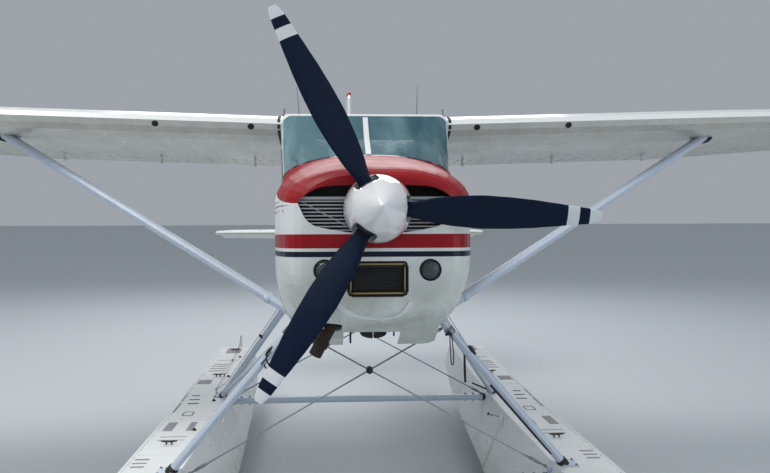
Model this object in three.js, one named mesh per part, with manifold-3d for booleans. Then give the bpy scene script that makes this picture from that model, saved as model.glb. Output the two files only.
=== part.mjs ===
// High-wing single-engine floatplane with strut-braced wings, a three-blade propeller and twin floats.
// Units are millimetres, with +Z up, +Y aft and +X to the aeroplane's left, which is the right of a viewer ahead.
// The airframe is drawn with the propeller shaft level and its zero on the firewall.
// It is then tilted nose up about the propeller hub, as the float struts hold it.

import * as THREE from 'three';
import { mergeVertices } from 'three/addons/utils/BufferGeometryUtils.js';
import Module from 'manifold-3d';

const wasm = await Module();
wasm.setup();

// Driving dimensions
const joinGap = 0.3;
const swingGap = 6;
const coveGap = 8;
const restPitch = 2.5;
const hubY = -1047;
const hubHeight = 2320;
const overallSpan = 10920;

// Fuselage
const wall = 35;
const glassThickness = 6;
const cowlSkin = 10;
const coneSkin = 14;
const cabinFront = 0;
const cabinRear = 2240;
const coneRear = 5905;
const noseFront = -925;
const sideHalf = 553;
const floorTop = -555;
const floorThickness = 20;
const bellySplit = -520;
const roofSplit = 575;
const roofFront = 600;
const cowlSplit = 20;

// Wing
const rootChord = 1626;
const rootLeadingY = 615;
const rootLeadingZ = 622;
const dihedral = 1.73;
const kinkX = 2540;
const wingIncidence = 5.3;
const flapEndX = 2578;
const aileronEndX = 5190;
const flapHingeShare = 0.72;
const aileronHingeShare = 0.77;
const flapPivotDrop = 90;

// Tail
const tailplaneZ = -88;
const tailplaneHalf = 1635;
const elevatorHingeY = 5720;
const elevatorDroop = 8;
const rudderHingeY = 5950;
const finTop = 1672;

// Floats
const floatX = 1335;
const stepY = 1480;
const stepRise = 70;
const keelHalf = 14;
const frontBarY = 20;
const rearBarY = 2300;

function degrees(angle) {
  return THREE.MathUtils.degToRad(angle);
}

function point(x, y, z) {
  return new THREE.Vector3(x, y, z);
}

// Solids: a closed geometry goes to the boolean library and back
function toSolid(geometry) {
  const bare = geometry.clone();
  bare.deleteAttribute('normal');
  bare.deleteAttribute('uv');
  const merged = mergeVertices(bare, 1e-4);
  const triVerts = new Uint32Array(merged.index.array);
  const vertProperties = new Float32Array(merged.attributes.position.array);
  return new wasm.Manifold(new wasm.Mesh({ numProp: 3, vertProperties, triVerts }));
}

function toGeometry(solid) {
  const mesh = solid.getMesh();
  const geometry = new THREE.BufferGeometry();
  geometry.setAttribute('position', new THREE.BufferAttribute(mesh.vertProperties, 3));
  geometry.setIndex(new THREE.BufferAttribute(mesh.triVerts, 1));
  return geometry;
}

function joined(...solids) {
  return solids.reduce((sum, solid) => sum.add(solid));
}

function cut(solid, ...tools) {
  return tools.reduce((rest, tool) => rest.subtract(tool), solid);
}

// Cuts away a neighbour and the same neighbour moved by an offset, which leaves the joining gap
function seated(solid, neighbour, x, y, z) {
  return cut(solid, neighbour, neighbour.translate([x, y, z]));
}

// A closed solid through rings of points, each ring with the same number of points
function loft(rings) {
  const count = rings[0].length;
  const vertices = rings.flat();
  const index = [];
  for (let r = 0; r + 1 < rings.length; r += 1) {
    for (let i = 0; i < count; i += 1) {
      const a = r * count + i;
      const b = r * count + ((i + 1) % count);
      index.push(a, b, b + count, a, b + count, a + count);
    }
  }
  for (const [r, turned] of [[0, true], [rings.length - 1, false]]) {
    const centre = vertices.length;
    vertices.push(rings[r].reduce((sum, p) => sum.add(p), point(0, 0, 0)).divideScalar(count));
    for (let i = 0; i < count; i += 1) {
      const a = r * count + i;
      const b = r * count + ((i + 1) % count);
      index.push(...(turned ? [b, a, centre] : [a, b, centre]));
    }
  }
  let volume = 0;
  for (let t = 0; t < index.length; t += 3) {
    const [a, b, c] = [vertices[index[t]], vertices[index[t + 1]], vertices[index[t + 2]]];
    volume += a.dot(b.clone().cross(c));
  }
  if (volume < 0) {
    index.reverse();
  }
  const geometry = new THREE.BufferGeometry();
  const positions = vertices.flatMap((p) => [p.x, p.y, p.z]);
  geometry.setAttribute('position', new THREE.Float32BufferAttribute(positions, 3));
  geometry.setIndex(index);
  return toSolid(geometry);
}

function box(low, high) {
  const size = high.map((value, i) => value - low[i]);
  const geometry = new THREE.BoxGeometry(...size);
  geometry.translate(...low.map((value, i) => value + size[i] / 2));
  return toSolid(geometry);
}

// A round bar between two points
function rod(from, to, radius, sides) {
  return sweep([from, to], radius, sides);
}

// A round bar through several points
function sweep(points, radius, sides) {
  const rings = points.map((at, i) => {
    const before = points[Math.max(i - 1, 0)];
    const after = points[Math.min(i + 1, points.length - 1)];
    const along = after.clone().sub(before).normalize();
    const across = point(0, 1, 0).cross(along);
    if (across.length() < 0.2) {
      across.set(1, 0, 0);
    }
    across.normalize();
    const up = along.clone().cross(across);
    return Array.from({ length: sides }, (_, k) => {
      const angle = ((k + 0.5) / sides) * Math.PI * 2;
      return at.clone()
        .addScaledVector(across, Math.cos(angle) * radius)
        .addScaledVector(up, Math.sin(angle) * radius);
    });
  });
  return loft(rings);
}

// A streamlined strut: its section is long in the direction of flight and thin across
function strut(from, to, chord, thickness) {
  const along = to.clone().sub(from).normalize();
  const aft = point(0, 1, 0).addScaledVector(along, -along.y).normalize();
  const across = along.clone().cross(aft);
  const section = [[-0.5, 0], [-0.42, 0.3], [-0.25, 0.46], [0, 0.5], [0.25, 0.36], [0.5, 0.04]];
  const outline = [...section, ...section.slice(1).reverse().map(([u, v]) => [u, -v])];
  const rings = [from, to].map((at) => outline.map(([u, v]) => at.clone()
    .addScaledVector(aft, u * chord)
    .addScaledVector(across, v * thickness)));
  return loft(rings);
}

// An outline with rounded corners, each corner as [u, v, radius]
function rounded(corners) {
  const shape = new THREE.Shape();
  corners.forEach(([u, v, radius], i) => {
    const before = corners[(i + corners.length - 1) % corners.length];
    const after = corners[(i + 1) % corners.length];
    const at = new THREE.Vector2(u, v);
    const start = new THREE.Vector2(before[0], before[1]).sub(at).setLength(radius).add(at);
    const end = new THREE.Vector2(after[0], after[1]).sub(at).setLength(radius).add(at);
    if (i === 0) {
      shape.moveTo(start.x, start.y);
    } else {
      shape.lineTo(start.x, start.y);
    }
    if (radius > 0) {
      shape.quadraticCurveTo(u, v, end.x, end.y);
    }
  });
  shape.closePath();
  return shape;
}

// A side-view outline in (y, z), run through the fuselage from one x to another
function sideBlock(shape, fromX, toX) {
  const geometry = new THREE.ExtrudeGeometry(shape, { depth: toX - fromX, bevelEnabled: false, curveSegments: 4 });
  const turn = new THREE.Matrix4().makeBasis(point(0, 1, 0), point(0, 0, 1), point(1, 0, 0));
  geometry.applyMatrix4(turn);
  geometry.translate(fromX, 0, 0);
  return toSolid(geometry);
}

// A front-view outline in (x, z), run from one y to another
function frontBlock(shape, fromY, toY) {
  const geometry = new THREE.ExtrudeGeometry(shape, { depth: toY - fromY, bevelEnabled: false, curveSegments: 6 });
  const turn = new THREE.Matrix4().makeBasis(point(1, 0, 0), point(0, 0, 1), point(0, -1, 0));
  geometry.applyMatrix4(turn);
  geometry.translate(0, toY, 0);
  return toSolid(geometry);
}

// Reads a table of stations between two of its rows, by its first column
function between(stations, at) {
  const next = Math.max(stations.findIndex((station) => station[0] >= at), 1);
  const [before, after] = [stations[next - 1], stations[next]];
  const share = (at - before[0]) / (after[0] - before[0]);
  return before.map((value, i) => value + (after[i] - value) * share);
}

// Hinge fitting: a bracket with an eye on the fixed surface, and the slot that it needs in the movable one
const bracketHalf = 5;
const eyeRadius = 11;
const slotRoom = 5;

function hingeFitting(at, axis, aft, reach) {
  const up = axis.clone().cross(aft).normalize();
  const placed = new THREE.Matrix4().makeBasis(aft, up, axis).setPosition(at).elements;
  const half = bracketHalf;
  const slotHalf = half + joinGap;
  const bracket = joined(
    rod(point(0, 0, -half), point(0, 0, half), eyeRadius, 12),
    box([-reach, -eyeRadius * 0.8, -half], [0, eyeRadius * 0.8, half]),
  );
  const slot = joined(
    rod(point(0, 0, -slotHalf), point(0, 0, slotHalf), eyeRadius + slotRoom, 12),
    box([-reach, -reach, -slotHalf], [0, reach, slotHalf]),
  );
  return { bracket: bracket.transform(placed), slot: slot.transform(placed) };
}

// Hinge knuckles along a line: the middle one is fixed and the outer two move, each with room in the other panel
function knuckles(from, to, radius) {
  const at = (share) => from.clone().lerp(to, share);
  const gap = joinGap / from.distanceTo(to);
  const barrel = (start, end, size) => rod(at(start), at(end), size, 12);
  return {
    fixed: barrel(1 / 3, 2 / 3, radius),
    moving: joined(barrel(0, 1 / 3 - gap, radius), barrel(2 / 3 + gap, 1, radius)),
    fixedRoom: barrel(1 / 3 - gap, 2 / 3 + gap, radius + 1),
    movingRoom: joined(barrel(-gap, 1 / 3, radius + 1), barrel(2 / 3, 1 + gap, radius + 1)),
  };
}

// Body sections: a box with elliptical corners
const cornerSteps = 8;

function bodyRing(section, inset) {
  const [y, half, top, bottom, topX, topZ, lowX, lowZ] = section;
  const corners = [
    [1, 1, half, top, topX, topZ, 0],
    [-1, 1, half, top, topX, topZ, 1],
    [-1, -1, half, -bottom, lowX, lowZ, 2],
    [1, -1, half, -bottom, lowX, lowZ, 3],
  ];
  const ring = [];
  for (const [signX, signZ, reachX, reachZ, radiusX, radiusZ, quarter] of corners) {
    const rx = Math.max(radiusX - inset, 4);
    const rz = Math.max(radiusZ - inset, 4);
    for (let k = 0; k <= cornerSteps; k += 1) {
      const angle = (quarter + k / cornerSteps) * (Math.PI / 2);
      const x = signX * (reachX - inset - rx) + Math.cos(angle) * rx;
      const z = signZ * (reachZ - inset - rz) + Math.sin(angle) * rz;
      ring.push(point(x, y, z));
    }
  }
  return ring;
}

function body(sections, inset) {
  return loft(sections.map((section) => bodyRing(section, inset)));
}

function lengthened(sections, front, rear) {
  const first = [...sections[0]];
  const last = [...sections[sections.length - 1]];
  first[0] -= front;
  last[0] += rear;
  return [first, ...sections, last];
}

// Columns: y, half width, top, bottom, top corner across and down, bottom corner across and up
const cowlSections = [
  [noseFront, 350, 158, -483, 262, 150, 205, 190],
  [-921, 378, 170, -495, 280, 156, 220, 205],
  [-905, 412, 187, -511, 306, 164, 242, 225],
  [-875, 440, 203, -528, 328, 172, 262, 258],
  [-840, 460, 215, -545, 350, 180, 275, 285],
  [-740, 491, 241, -580, 390, 198, 288, 335],
  [-600, 515, 268, -619, 430, 220, 300, 380],
  [-330, 543, 312, -674, 462, 250, 285, 390],
  [-joinGap, 550, 342, -712, 480, 270, 235, 320],
];

const cabinSections = [
  [cabinFront, 550, 342, -712, 480, 270, 235, 320],
  [60, 549, 362, -716, 465, 270, 220, 290],
  [330, 531, 483, -719, 215, 255, 195, 240],
  [430, 534, 545, -718, 150, 250, 195, 240],
  [620, 562, 690, -715, 60, 60, 200, 250],
  [820, 564, 718, -712, 40, 40, 200, 265],
  [1150, 562, 724, -706, 40, 40, 200, 290],
  [1700, 545, 684, -684, 50, 50, 190, 300],
  [cabinRear, 490, 622, -645, 120, 110, 170, 280],
];

const coneSections = [
  [cabinRear + joinGap, 490, 622, -645, 120, 110, 170, 280],
  [2800, 415, 474, -578, 190, 170, 160, 250],
  [3700, 305, 325, -462, 180, 170, 140, 200],
  [4800, 185, 172, -335, 130, 120, 110, 140],
  [5600, 95, 92, -242, 75, 70, 70, 90],
  [coneRear, 45, 62, -205, 36, 40, 36, 60],
];

// Materials
function paint(colour, roughness = 0.35, metalness = 0) {
  return new THREE.MeshStandardMaterial({ color: colour, roughness, metalness });
}

const finishes = {
  white: paint('#e6ebe9'),
  red: paint('#a8142a'),
  grey: paint('#c9ccca', 0.5),
  blade: paint('#0b1430', 0.4),
  alloy: paint('#a9acae', 0.35, 0.8),
  dark: paint('#15181b', 0.7),
  rust: paint('#4a3a36', 0.85, 0.4),
  brass: paint('#8c7f55', 0.5, 0.5),
  glass: paint('#5e9a9c', 0.1),
  lamp: paint('#b9cfd2', 0.1),
  trim: paint('#3b4450', 0.8),
  wire: paint('#8f9499', 0.35, 0.9),
};

const floatplane = new THREE.Group();
const airframe = new THREE.Group();
const undercarriage = new THREE.Group();
floatplane.add(airframe, undercarriage);

// The airframe is turned about the hub, and its zero moves with it
const pitchTurn = new THREE.Euler(-degrees(restPitch), 0, 0);
const turnedHub = point(0, hubY, 0).applyEuler(pitchTurn);
const airframeOrigin = point(0, hubY, hubHeight).sub(turnedHub);
airframe.rotation.copy(pitchTurn);
airframe.position.copy(airframeOrigin);

function onFloor(solid) {
  return solid.rotate([-restPitch, 0, 0]).translate(airframeOrigin.toArray());
}

function toFloor(at) {
  return at.clone().applyEuler(pitchTurn).add(airframeOrigin);
}

function add(group, name, solid, finish) {
  const mesh = new THREE.Mesh(toGeometry(solid), finishes[finish]);
  mesh.name = name;
  group.add(mesh);
}

// Hinge lines, as [a point, another point further along the axis], in the airframe's frame or the floats' frame
const hinges = {};

const sides = [
  ['left', 1],
  ['right', -1],
];

function mirrored(solid, side) {
  return side > 0 ? solid : solid.mirror([1, 0, 0]);
}

// Engine cowl, hollow and open at the back, split into a top and a bottom
const cowlOuter = body(cowlSections, 0);
const cowlInnerSections = lengthened(cowlSections.slice(1), -30, 20);
const cowlInner = body(cowlInnerSections, cowlSkin);
const mouthShape = rounded([
  [-398, 38, 20], [-300, 112, 60], [0, 128, 200], [300, 112, 60],
  [398, 38, 20], [344, -78, 60], [0, -146, 240], [-344, -78, 60],
]);
const inletHalf = 149;
const inletTop = -257;
const inletBottom = -431;
const inletShape = rounded([
  [-inletHalf, inletTop, 22], [inletHalf, inletTop, 22], [inletHalf, inletBottom, 22], [-inletHalf, inletBottom, 22],
]);
const lightX = 262;
const lightZ = -302;
const lightRadius = 56;
const cowlFlapInner = 163;
const cowlFlapOuter = 386;
const cowlFlapFront = -330;
const cowlFlapRear = -30;
const cowlFlapOpen = 14;
const cowlFlapHingeZ = -669;
const exhaustAt = point(-222, -445, -600);
const exhaustEnd = point(-322, -412, -788);
const exhaustHole = 58;
const slotHalf = 48;
const slotFront = -667;

function cowlFlapBlock(margin) {
  return box(
    [cowlFlapInner - margin, cowlFlapFront - margin, -900],
    [cowlFlapOuter + margin, cowlFlapRear + margin, -500],
  );
}

// The exhaust leaves through a slot with a round front end
const exhaustSlot = joined(
  rod(point(exhaustAt.x, slotFront, -900), point(exhaustAt.x, slotFront, -500), slotHalf, 16),
  box([exhaustAt.x - slotHalf, slotFront, -900], [exhaustAt.x + slotHalf, exhaustAt.y, -500]),
);
const cowlHoles = [
  frontBlock(mouthShape, noseFront - 20, -780),
  frontBlock(inletShape, noseFront - 20, -860),
  cowlFlapBlock(swingGap),
  mirrored(cowlFlapBlock(swingGap), -1),
  rod(exhaustEnd, exhaustEnd.clone().lerp(exhaustAt, 1.3), exhaustHole, 16),
  exhaustSlot,
];
for (const [, side] of sides) {
  const front = point(side * lightX, noseFront - 20, lightZ);
  cowlHoles.push(rod(front, point(side * lightX, -800, lightZ), lightRadius, 20));
}
const cowlFlapHinge = knuckles(
  point(cowlFlapInner + 20, cowlFlapFront, cowlFlapHingeZ),
  point(cowlFlapInner + 120, cowlFlapFront, cowlFlapHingeZ),
  8,
);
const cowlShell = cut(cowlOuter, cowlInner);
const cowlOpened = joined(
  cut(cowlShell, ...cowlHoles, cowlFlapHinge.movingRoom, mirrored(cowlFlapHinge.movingRoom, -1)),
  cowlFlapHinge.fixed,
  mirrored(cowlFlapHinge.fixed, -1),
);
add(airframe, 'cowl_top', cowlOpened.intersect(box([-700, -1100, cowlSplit + joinGap], [700, 100, 500])), 'red');
add(airframe, 'cowl_bottom', cowlOpened.intersect(box([-700, -1100, -900], [700, 100, cowlSplit])), 'white');

// Cowl flaps hang open below the cowl, as they park
sides.forEach(([name, side]) => {
  const plate = cowlShell.intersect(cowlFlapBlock(0));
  const closed = joined(cut(plate, cowlFlapHinge.fixedRoom), cowlFlapHinge.moving);
  const open = closed.translate([0, -cowlFlapFront, -cowlFlapHingeZ])
    .rotate([-cowlFlapOpen, 0, 0])
    .translate([0, cowlFlapFront, cowlFlapHingeZ]);
  add(airframe, `cowl_flap_${name}`, mirrored(open, side), 'white');
  hinges[`cowl_flap_${name}`] = [point(0, cowlFlapFront, cowlFlapHingeZ), point(-1, cowlFlapFront, cowlFlapHingeZ)];
});

// Cooling grille behind the mouth: a baffle across the lower half, with slats on both sides of the spinner
const grilleY = -872;
const grilleDepth = 12;
const slatCount = 9;
const slatTop = 50;
const slatBottom = -112;
const slatHeight = 7;
const grilleFill = body(cowlInnerSections, cowlSkin + joinGap);
const grillePlate = grilleFill.intersect(box([-600, grilleY, -150], [600, grilleY + grilleDepth, 64]));
const grilleHole = frontBlock(mouthShape, grilleY - 5, grilleY + grilleDepth + 5)
  .intersect(box([-600, grilleY - 10, -200], [600, grilleY + 40, slatTop]));
const slats = Array.from({ length: slatCount }, (_, k) => {
  const z = slatBottom + ((slatTop - slatBottom) * (k + 0.5)) / slatCount;
  return box([-395, grilleY + 1, z - slatHeight / 2], [395, grilleY + grilleDepth - 1, z + slatHeight / 2]);
});
const shaftRoom = rod(point(0, grilleY - 30, 0), point(0, grilleY + 40, 0), 90, 20);
const grille = cut(joined(cut(grillePlate, grilleHole), ...slats), shaftRoom, cowlOpened);
add(airframe, 'nose_grille', grille, 'alloy');

// Engine air inlet: a framed filter set in the nose
const filterFront = noseFront + 8;
const filterDepth = 60;
const frameWidth = 16;
const ribCount = 7;
const inletFrame = frontBlock(rounded([
  [-inletHalf + joinGap, inletTop - joinGap, 21], [inletHalf - joinGap, inletTop - joinGap, 21],
  [inletHalf - joinGap, inletBottom + joinGap, 21], [-inletHalf + joinGap, inletBottom + joinGap, 21],
]), filterFront, filterFront + filterDepth);
const inletPocket = box(
  [-inletHalf + frameWidth, filterFront - 5, inletBottom + frameWidth],
  [inletHalf - frameWidth, filterFront + 25, inletTop - frameWidth],
);
const ribs = Array.from({ length: ribCount }, (_, k) => {
  const z = inletBottom + frameWidth + ((inletTop - inletBottom - 2 * frameWidth) * (k + 0.5)) / ribCount;
  return box([-inletHalf + 5, filterFront + 12, z - 4], [inletHalf - 5, filterFront + 30, z + 4]);
});
add(airframe, 'air_filter', joined(cut(inletFrame, inletPocket), ...ribs), 'brass');

// Landing lights: a short barrel with a domed glass front
sides.forEach(([name, side]) => {
  const barrel = [[-934, 28], [-929, 45], [-920, lightRadius - joinGap], [-850, lightRadius - joinGap]];
  const rings = barrel.map(([y, radius]) => Array.from({ length: 20 }, (_, k) => {
    const angle = ((k + 0.5) / 20) * Math.PI * 2;
    return point(side * lightX + Math.cos(angle) * radius, y, lightZ + Math.sin(angle) * radius);
  }));
  add(airframe, `landing_light_${name}`, loft(rings), 'lamp');
});

// Engine: one plain block with its mount behind and the propeller shaft ahead
const spinnerRear = -948;
const engineBottom = -290;
const engineBlock = joined(
  box([-370, -740, engineBottom], [370, -200, 105]),
  box([-160, -210, -160], [160, 2 - joinGap, 40]),
  rod(point(0, spinnerRear + joinGap, 0), point(0, -735, 0), 48, 16),
);
add(airframe, 'engine_block', engineBlock, 'alloy');

const exhaustPath = [
  point(exhaustAt.x, exhaustAt.y, engineBottom - joinGap),
  exhaustAt,
  exhaustEnd,
];
const exhaustBore = [exhaustAt.clone().lerp(exhaustEnd, 0.45), exhaustAt.clone().lerp(exhaustEnd, 1.04)];
add(airframe, 'exhaust_pipe', cut(sweep(exhaustPath, 37, 14), sweep(exhaustBore, 32, 14)), 'rust');

// Cabin: one hollow body, split where its panels meet
const cabinOuter = body(cabinSections, 0);
const cabinInnerSections = lengthened(cabinSections, 20, 20);
const cabinInner = body(cabinInnerSections, wall);
const cabinShell = cut(cabinOuter, cabinInner);
const glassShell = cut(cabinOuter, body(cabinInnerSections, glassThickness));

// Side-view outlines, each corner as [y, z, radius]
const glassLine = [[45, 352], [300, 172], [385, 160], [560, roofSplit], [roofFront, 640], [roofFront, 900], [45, 900]];
const doorCorners = [[430, -490, 50], [430, 178, 30], [564, 485, 40], [1270, 485, 50], [1270, -490, 90]];
const doorWindowCorners = [[490, 160, 35], [605, 445, 35], [1215, 445, 45], [1215, 160, 45]];
const sideWindowCorners = [[1345, 160, 45], [1345, 445, 45], [1880, 425, 60], [2000, 290, 60], [1950, 160, 60]];

function grown(corners, margin) {
  const centreU = corners.reduce((sum, c) => sum + c[0], 0) / corners.length;
  const centreV = corners.reduce((sum, c) => sum + c[1], 0) / corners.length;
  const reach = Math.min(
    Math.max(...corners.map((c) => Math.abs(c[0] - centreU))),
    Math.max(...corners.map((c) => Math.abs(c[1] - centreV))),
  );
  const scale = 1 + margin / reach;
  return rounded(corners.map(([u, v, r]) => [centreU + (u - centreU) * scale, centreV + (v - centreV) * scale, r]));
}

const glassRegion = sideBlock(rounded(glassLine.map(([y, z]) => [y, z, 0])), -700, 700);
const noseRegion = box([-700, -10, bellySplit], [700, 430, 900]);
const deckBottom = 100;
const deckRegion = cut(
  box([-700, -10, deckBottom], [700, 320, 900]),
  glassRegion.translate([-joinGap, -joinGap, -joinGap]),
  glassRegion,
);
add(airframe, 'boot_cowl', cabinShell.intersect(deckRegion), 'red');
add(airframe, 'windshield', glassShell.intersect(glassRegion), 'glass');

const roofRegion = box([-700, roofFront + joinGap, roofSplit + joinGap], [700, cabinRear, 900]);
add(airframe, 'cabin_roof', cabinShell.intersect(roofRegion), 'white');

const bellyShell = cabinShell.intersect(box([-700, cabinFront, -900], [700, cabinRear, bellySplit]));
const floorBoard = body(cabinInnerSections, wall - 5).intersect(
  box([-700, cabinFront + 30, floorTop - floorThickness], [700, cabinRear - 5, floorTop]),
);
const belly = joined(bellyShell, floorBoard);
add(airframe, 'cabin_belly', belly, 'white');

const deckCut = box([-700, -10, deckBottom - joinGap], [700, 320 + joinGap, 900]);
const glassCut = joined(glassRegion, glassRegion.translate([0, joinGap, -joinGap]));
const doorHingeX = 540;
const doorHingeY = 427;
const doorHingeRadius = 7;
const doorHingeHeights = [-330, 60];
const sideBand = box([0, cabinFront, bellySplit + joinGap], [700, cabinRear, roofSplit]);
sides.forEach(([name, side]) => {
  const doorHole = sideBlock(grown(doorCorners, swingGap), 300, 700);
  const windowHole = sideBlock(grown(sideWindowCorners, 0), 300, 700);
  const half = cut(cabinShell.intersect(sideBand), doorHole, windowHole, deckCut, glassCut);
  const doorHinges = doorHingeHeights.map((z) => (
    knuckles(point(doorHingeX, doorHingeY, z - 60), point(doorHingeX, doorHingeY, z + 60), doorHingeRadius)));
  const sidePanel = cut(half, ...doorHinges.map((hinge) => hinge.movingRoom));
  const sideWhole = joined(sidePanel, ...doorHinges.map((hinge) => hinge.fixed));
  add(airframe, `cabin_side_${name}`, mirrored(sideWhole, side), 'white');
  const door = cabinShell.intersect(sideBlock(grown(doorCorners, 0), 300, 700));
  const doorWindowHole = sideBlock(grown(doorWindowCorners, 0), 300, 700);
  const doorPanel = cut(door, doorWindowHole, ...doorHinges.map((hinge) => hinge.fixedRoom));
  const doorWhole = joined(doorPanel, ...doorHinges.map((hinge) => hinge.moving));
  add(airframe, `cabin_door_${name}`, mirrored(doorWhole, side), 'white');
  const doorPane = glassShell.intersect(sideBlock(grown(doorWindowCorners, -joinGap), 300, 700));
  add(airframe, `door_window_${name}`, mirrored(doorPane, side), 'glass');
  const sidePane = glassShell.intersect(sideBlock(grown(sideWindowCorners, -joinGap), 300, 700));
  add(airframe, `side_window_${name}`, mirrored(sidePane, side), 'glass');
  hinges[`cabin_door_${name}`] = [point(side * doorHingeX, doorHingeY, 0), point(side * doorHingeX, doorHingeY, -side)];
});

// Firewall, instrument panel with its two control yokes, and seats
const cabinFill = body(cabinInnerSections, wall + joinGap);
const firewall = cabinFill.intersect(box([-700, 2, bellySplit - 150], [700, 12, 500]));
add(airframe, 'firewall', cut(firewall, belly.translate([0, 0, joinGap]), belly), 'alloy');

const panelY = 330;
const yokeX = 250;
const yokeZ = 20;
const yokeReach = 190;
const yokes = sides.flatMap(([, side]) => [
  rod(point(side * yokeX, panelY, yokeZ), point(side * yokeX, panelY + yokeReach, yokeZ), 14, 10),
  box([side * yokeX - 130, panelY + yokeReach - 10, yokeZ - 16], [side * yokeX + 130, panelY + yokeReach + 16, yokeZ + 16]),
  box([side * yokeX - 130, panelY + yokeReach - 10, yokeZ - 16], [side * yokeX - 100, panelY + yokeReach + 16, yokeZ + 90]),
  box([side * yokeX + 100, panelY + yokeReach - 10, yokeZ - 16], [side * yokeX + 130, panelY + yokeReach + 16, yokeZ + 90]),
]);
const panel = cabinFill.intersect(box([-700, panelY - 45, -140], [700, panelY, 150]));
add(airframe, 'instrument_panel', joined(panel, ...yokes), 'dark');

const seatBase = 190;
const seatTop = -225;

function seat(width, front, depth) {
  const backOutline = rounded([
    [front + depth - 70, seatTop - 60, 20], [front + depth + 70, 300, 40],
    [front + depth + 165, 290, 40], [front + depth + 60, seatTop - 60, 20],
  ]);
  return joined(
    box([-width / 2, front, seatTop - 110], [width / 2, front + depth, seatTop]),
    box([-seatBase, front + 60, floorTop + joinGap], [seatBase, front + depth - 40, seatTop - 105]),
    sideBlock(backOutline, -width / 2, width / 2),
  );
}

sides.forEach(([name, side]) => {
  add(airframe, `front_seat_${name}`, seat(430, 760, 400).translate([side * 245, 0, 0]), 'trim');
});
add(airframe, 'rear_seat', seat(900, 1560, 360), 'trim');

// Wing sections: four-digit aerofoil with its camber at 0.4 of the chord
const aerofoilSteps = 8;

function halfThickness(share, thickness) {
  return 5 * thickness * (0.2969 * Math.sqrt(share) - 0.126 * share - 0.3516 * share ** 2
    + 0.2843 * share ** 3 - 0.1015 * share ** 4);
}

function camberRise(share, camber) {
  return share < 0.4
    ? (camber / 0.16) * (0.8 * share - share ** 2)
    : (camber / 0.36) * (0.2 + 0.8 * share - share ** 2);
}

function aerofoil(chord, thickness, camber) {
  const upper = [];
  const lower = [];
  for (let k = 0; k <= aerofoilSteps; k += 1) {
    const share = 1 - Math.cos((k / aerofoilSteps) * (Math.PI / 2));
    const half = halfThickness(share, thickness);
    const rise = camberRise(share, camber);
    upper.push([share * chord, (rise + half) * chord]);
    lower.push([share * chord, (rise - half) * chord]);
  }
  return [...upper.reverse(), ...lower.slice(1)];
}

// Maps a section's own (aft, up) numbers into the airframe at a span station, turned by its incidence
function spanwise(x, y, z, incidence) {
  const cos = Math.cos(degrees(incidence));
  const sin = Math.sin(degrees(incidence));
  return ([u, v]) => point(x, y + u * cos + v * sin, z - u * sin + v * cos);
}

// Its root runs into the cabin's side, which trims it
const wingRootX = 440;

// Columns: x, chord, leading edge y, incidence, thickness share
const wingStations = [
  [wingRootX, rootChord, rootLeadingY, wingIncidence, 0.12],
  [kinkX, rootChord, rootLeadingY, wingIncidence, 0.12],
  [aileronEndX, 1150, 738, wingIncidence - 2.7, 0.12],
  [5380, 1050, 775, wingIncidence - 2.9, 0.105],
  [overallSpan / 2, 800, 890, wingIncidence - 3, 0.06],
];

function wingHeight(x) {
  return rootLeadingZ + (x - sideHalf) * Math.tan(degrees(dihedral));
}

const wingCamber = 0.02;

// The middle of the wing section at a share of its chord, half its thickness there, and its trailing edge
function wingHinge(x, share) {
  const [, chord, leadingY, incidence, thickness] = between(wingStations, x);
  const place = spanwise(x, leadingY, wingHeight(x), incidence);
  const at = place([share * chord, camberRise(share, wingCamber) * chord]);
  const trailing = place([chord, 0]);
  return { at, radius: halfThickness(share, thickness) * chord, trailing };
}

const wingSolid = loft(wingStations.map(([x, chord, y, incidence, thickness]) => aerofoil(chord, thickness, wingCamber)
  .map(spanwise(x, y, wingHeight(x), incidence))));

// A movable surface's section: a round nose about its hinge and straight sides to the trailing edge
const noseSteps = 6;
const trailingHalf = 3;

function flapRing(hinge, trailing, radius, across) {
  const aft = trailing.clone().sub(hinge);
  const chord = aft.length();
  aft.normalize();
  const up = aft.clone().cross(across).normalize();
  const ring = [];
  for (let k = 0; k <= noseSteps; k += 1) {
    const angle = Math.PI / 2 + (k / noseSteps) * Math.PI;
    ring.push([Math.cos(angle) * radius, Math.sin(angle) * radius]);
  }
  ring.push([chord, -trailingHalf], [chord, trailingHalf]);
  return ring.map(([u, v]) => hinge.clone().addScaledVector(aft, u).addScaledVector(up, v));
}

// The room a movable surface needs: its nose circle and everything behind it
function coveRing(hinge, trailing, radius, across) {
  const aft = trailing.clone().sub(hinge).normalize();
  const up = aft.clone().cross(across).normalize();
  const ring = [];
  for (let k = 0; k <= noseSteps; k += 1) {
    const angle = Math.PI / 2 + (k / noseSteps) * Math.PI;
    ring.push([Math.cos(angle) * radius, Math.sin(angle) * radius]);
  }
  ring.push([900, -radius - 160], [900, radius + 160]);
  return ring.map(([u, v]) => hinge.clone().addScaledVector(aft, u).addScaledVector(up, v));
}

const spanAxis = point(-1, 0, 0);
const surfaceLift = 2;

function wingSurface(fromX, toX, share) {
  const stations = [fromX, toX].map((x) => wingHinge(x, share));
  const solid = loft(stations.map(({ at, trailing, radius }) => flapRing(at, trailing, radius - surfaceLift, spanAxis)));
  const roomStations = [fromX - swingGap, toX + swingGap].map((x) => wingHinge(x, share));
  const room = loft(roomStations.map(({ at, trailing, radius }) => coveRing(at, trailing, radius + coveGap, spanAxis)));
  const [inner, outer] = stations.map((station) => station.at);
  return { solid, room, inner, outer };
}

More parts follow.
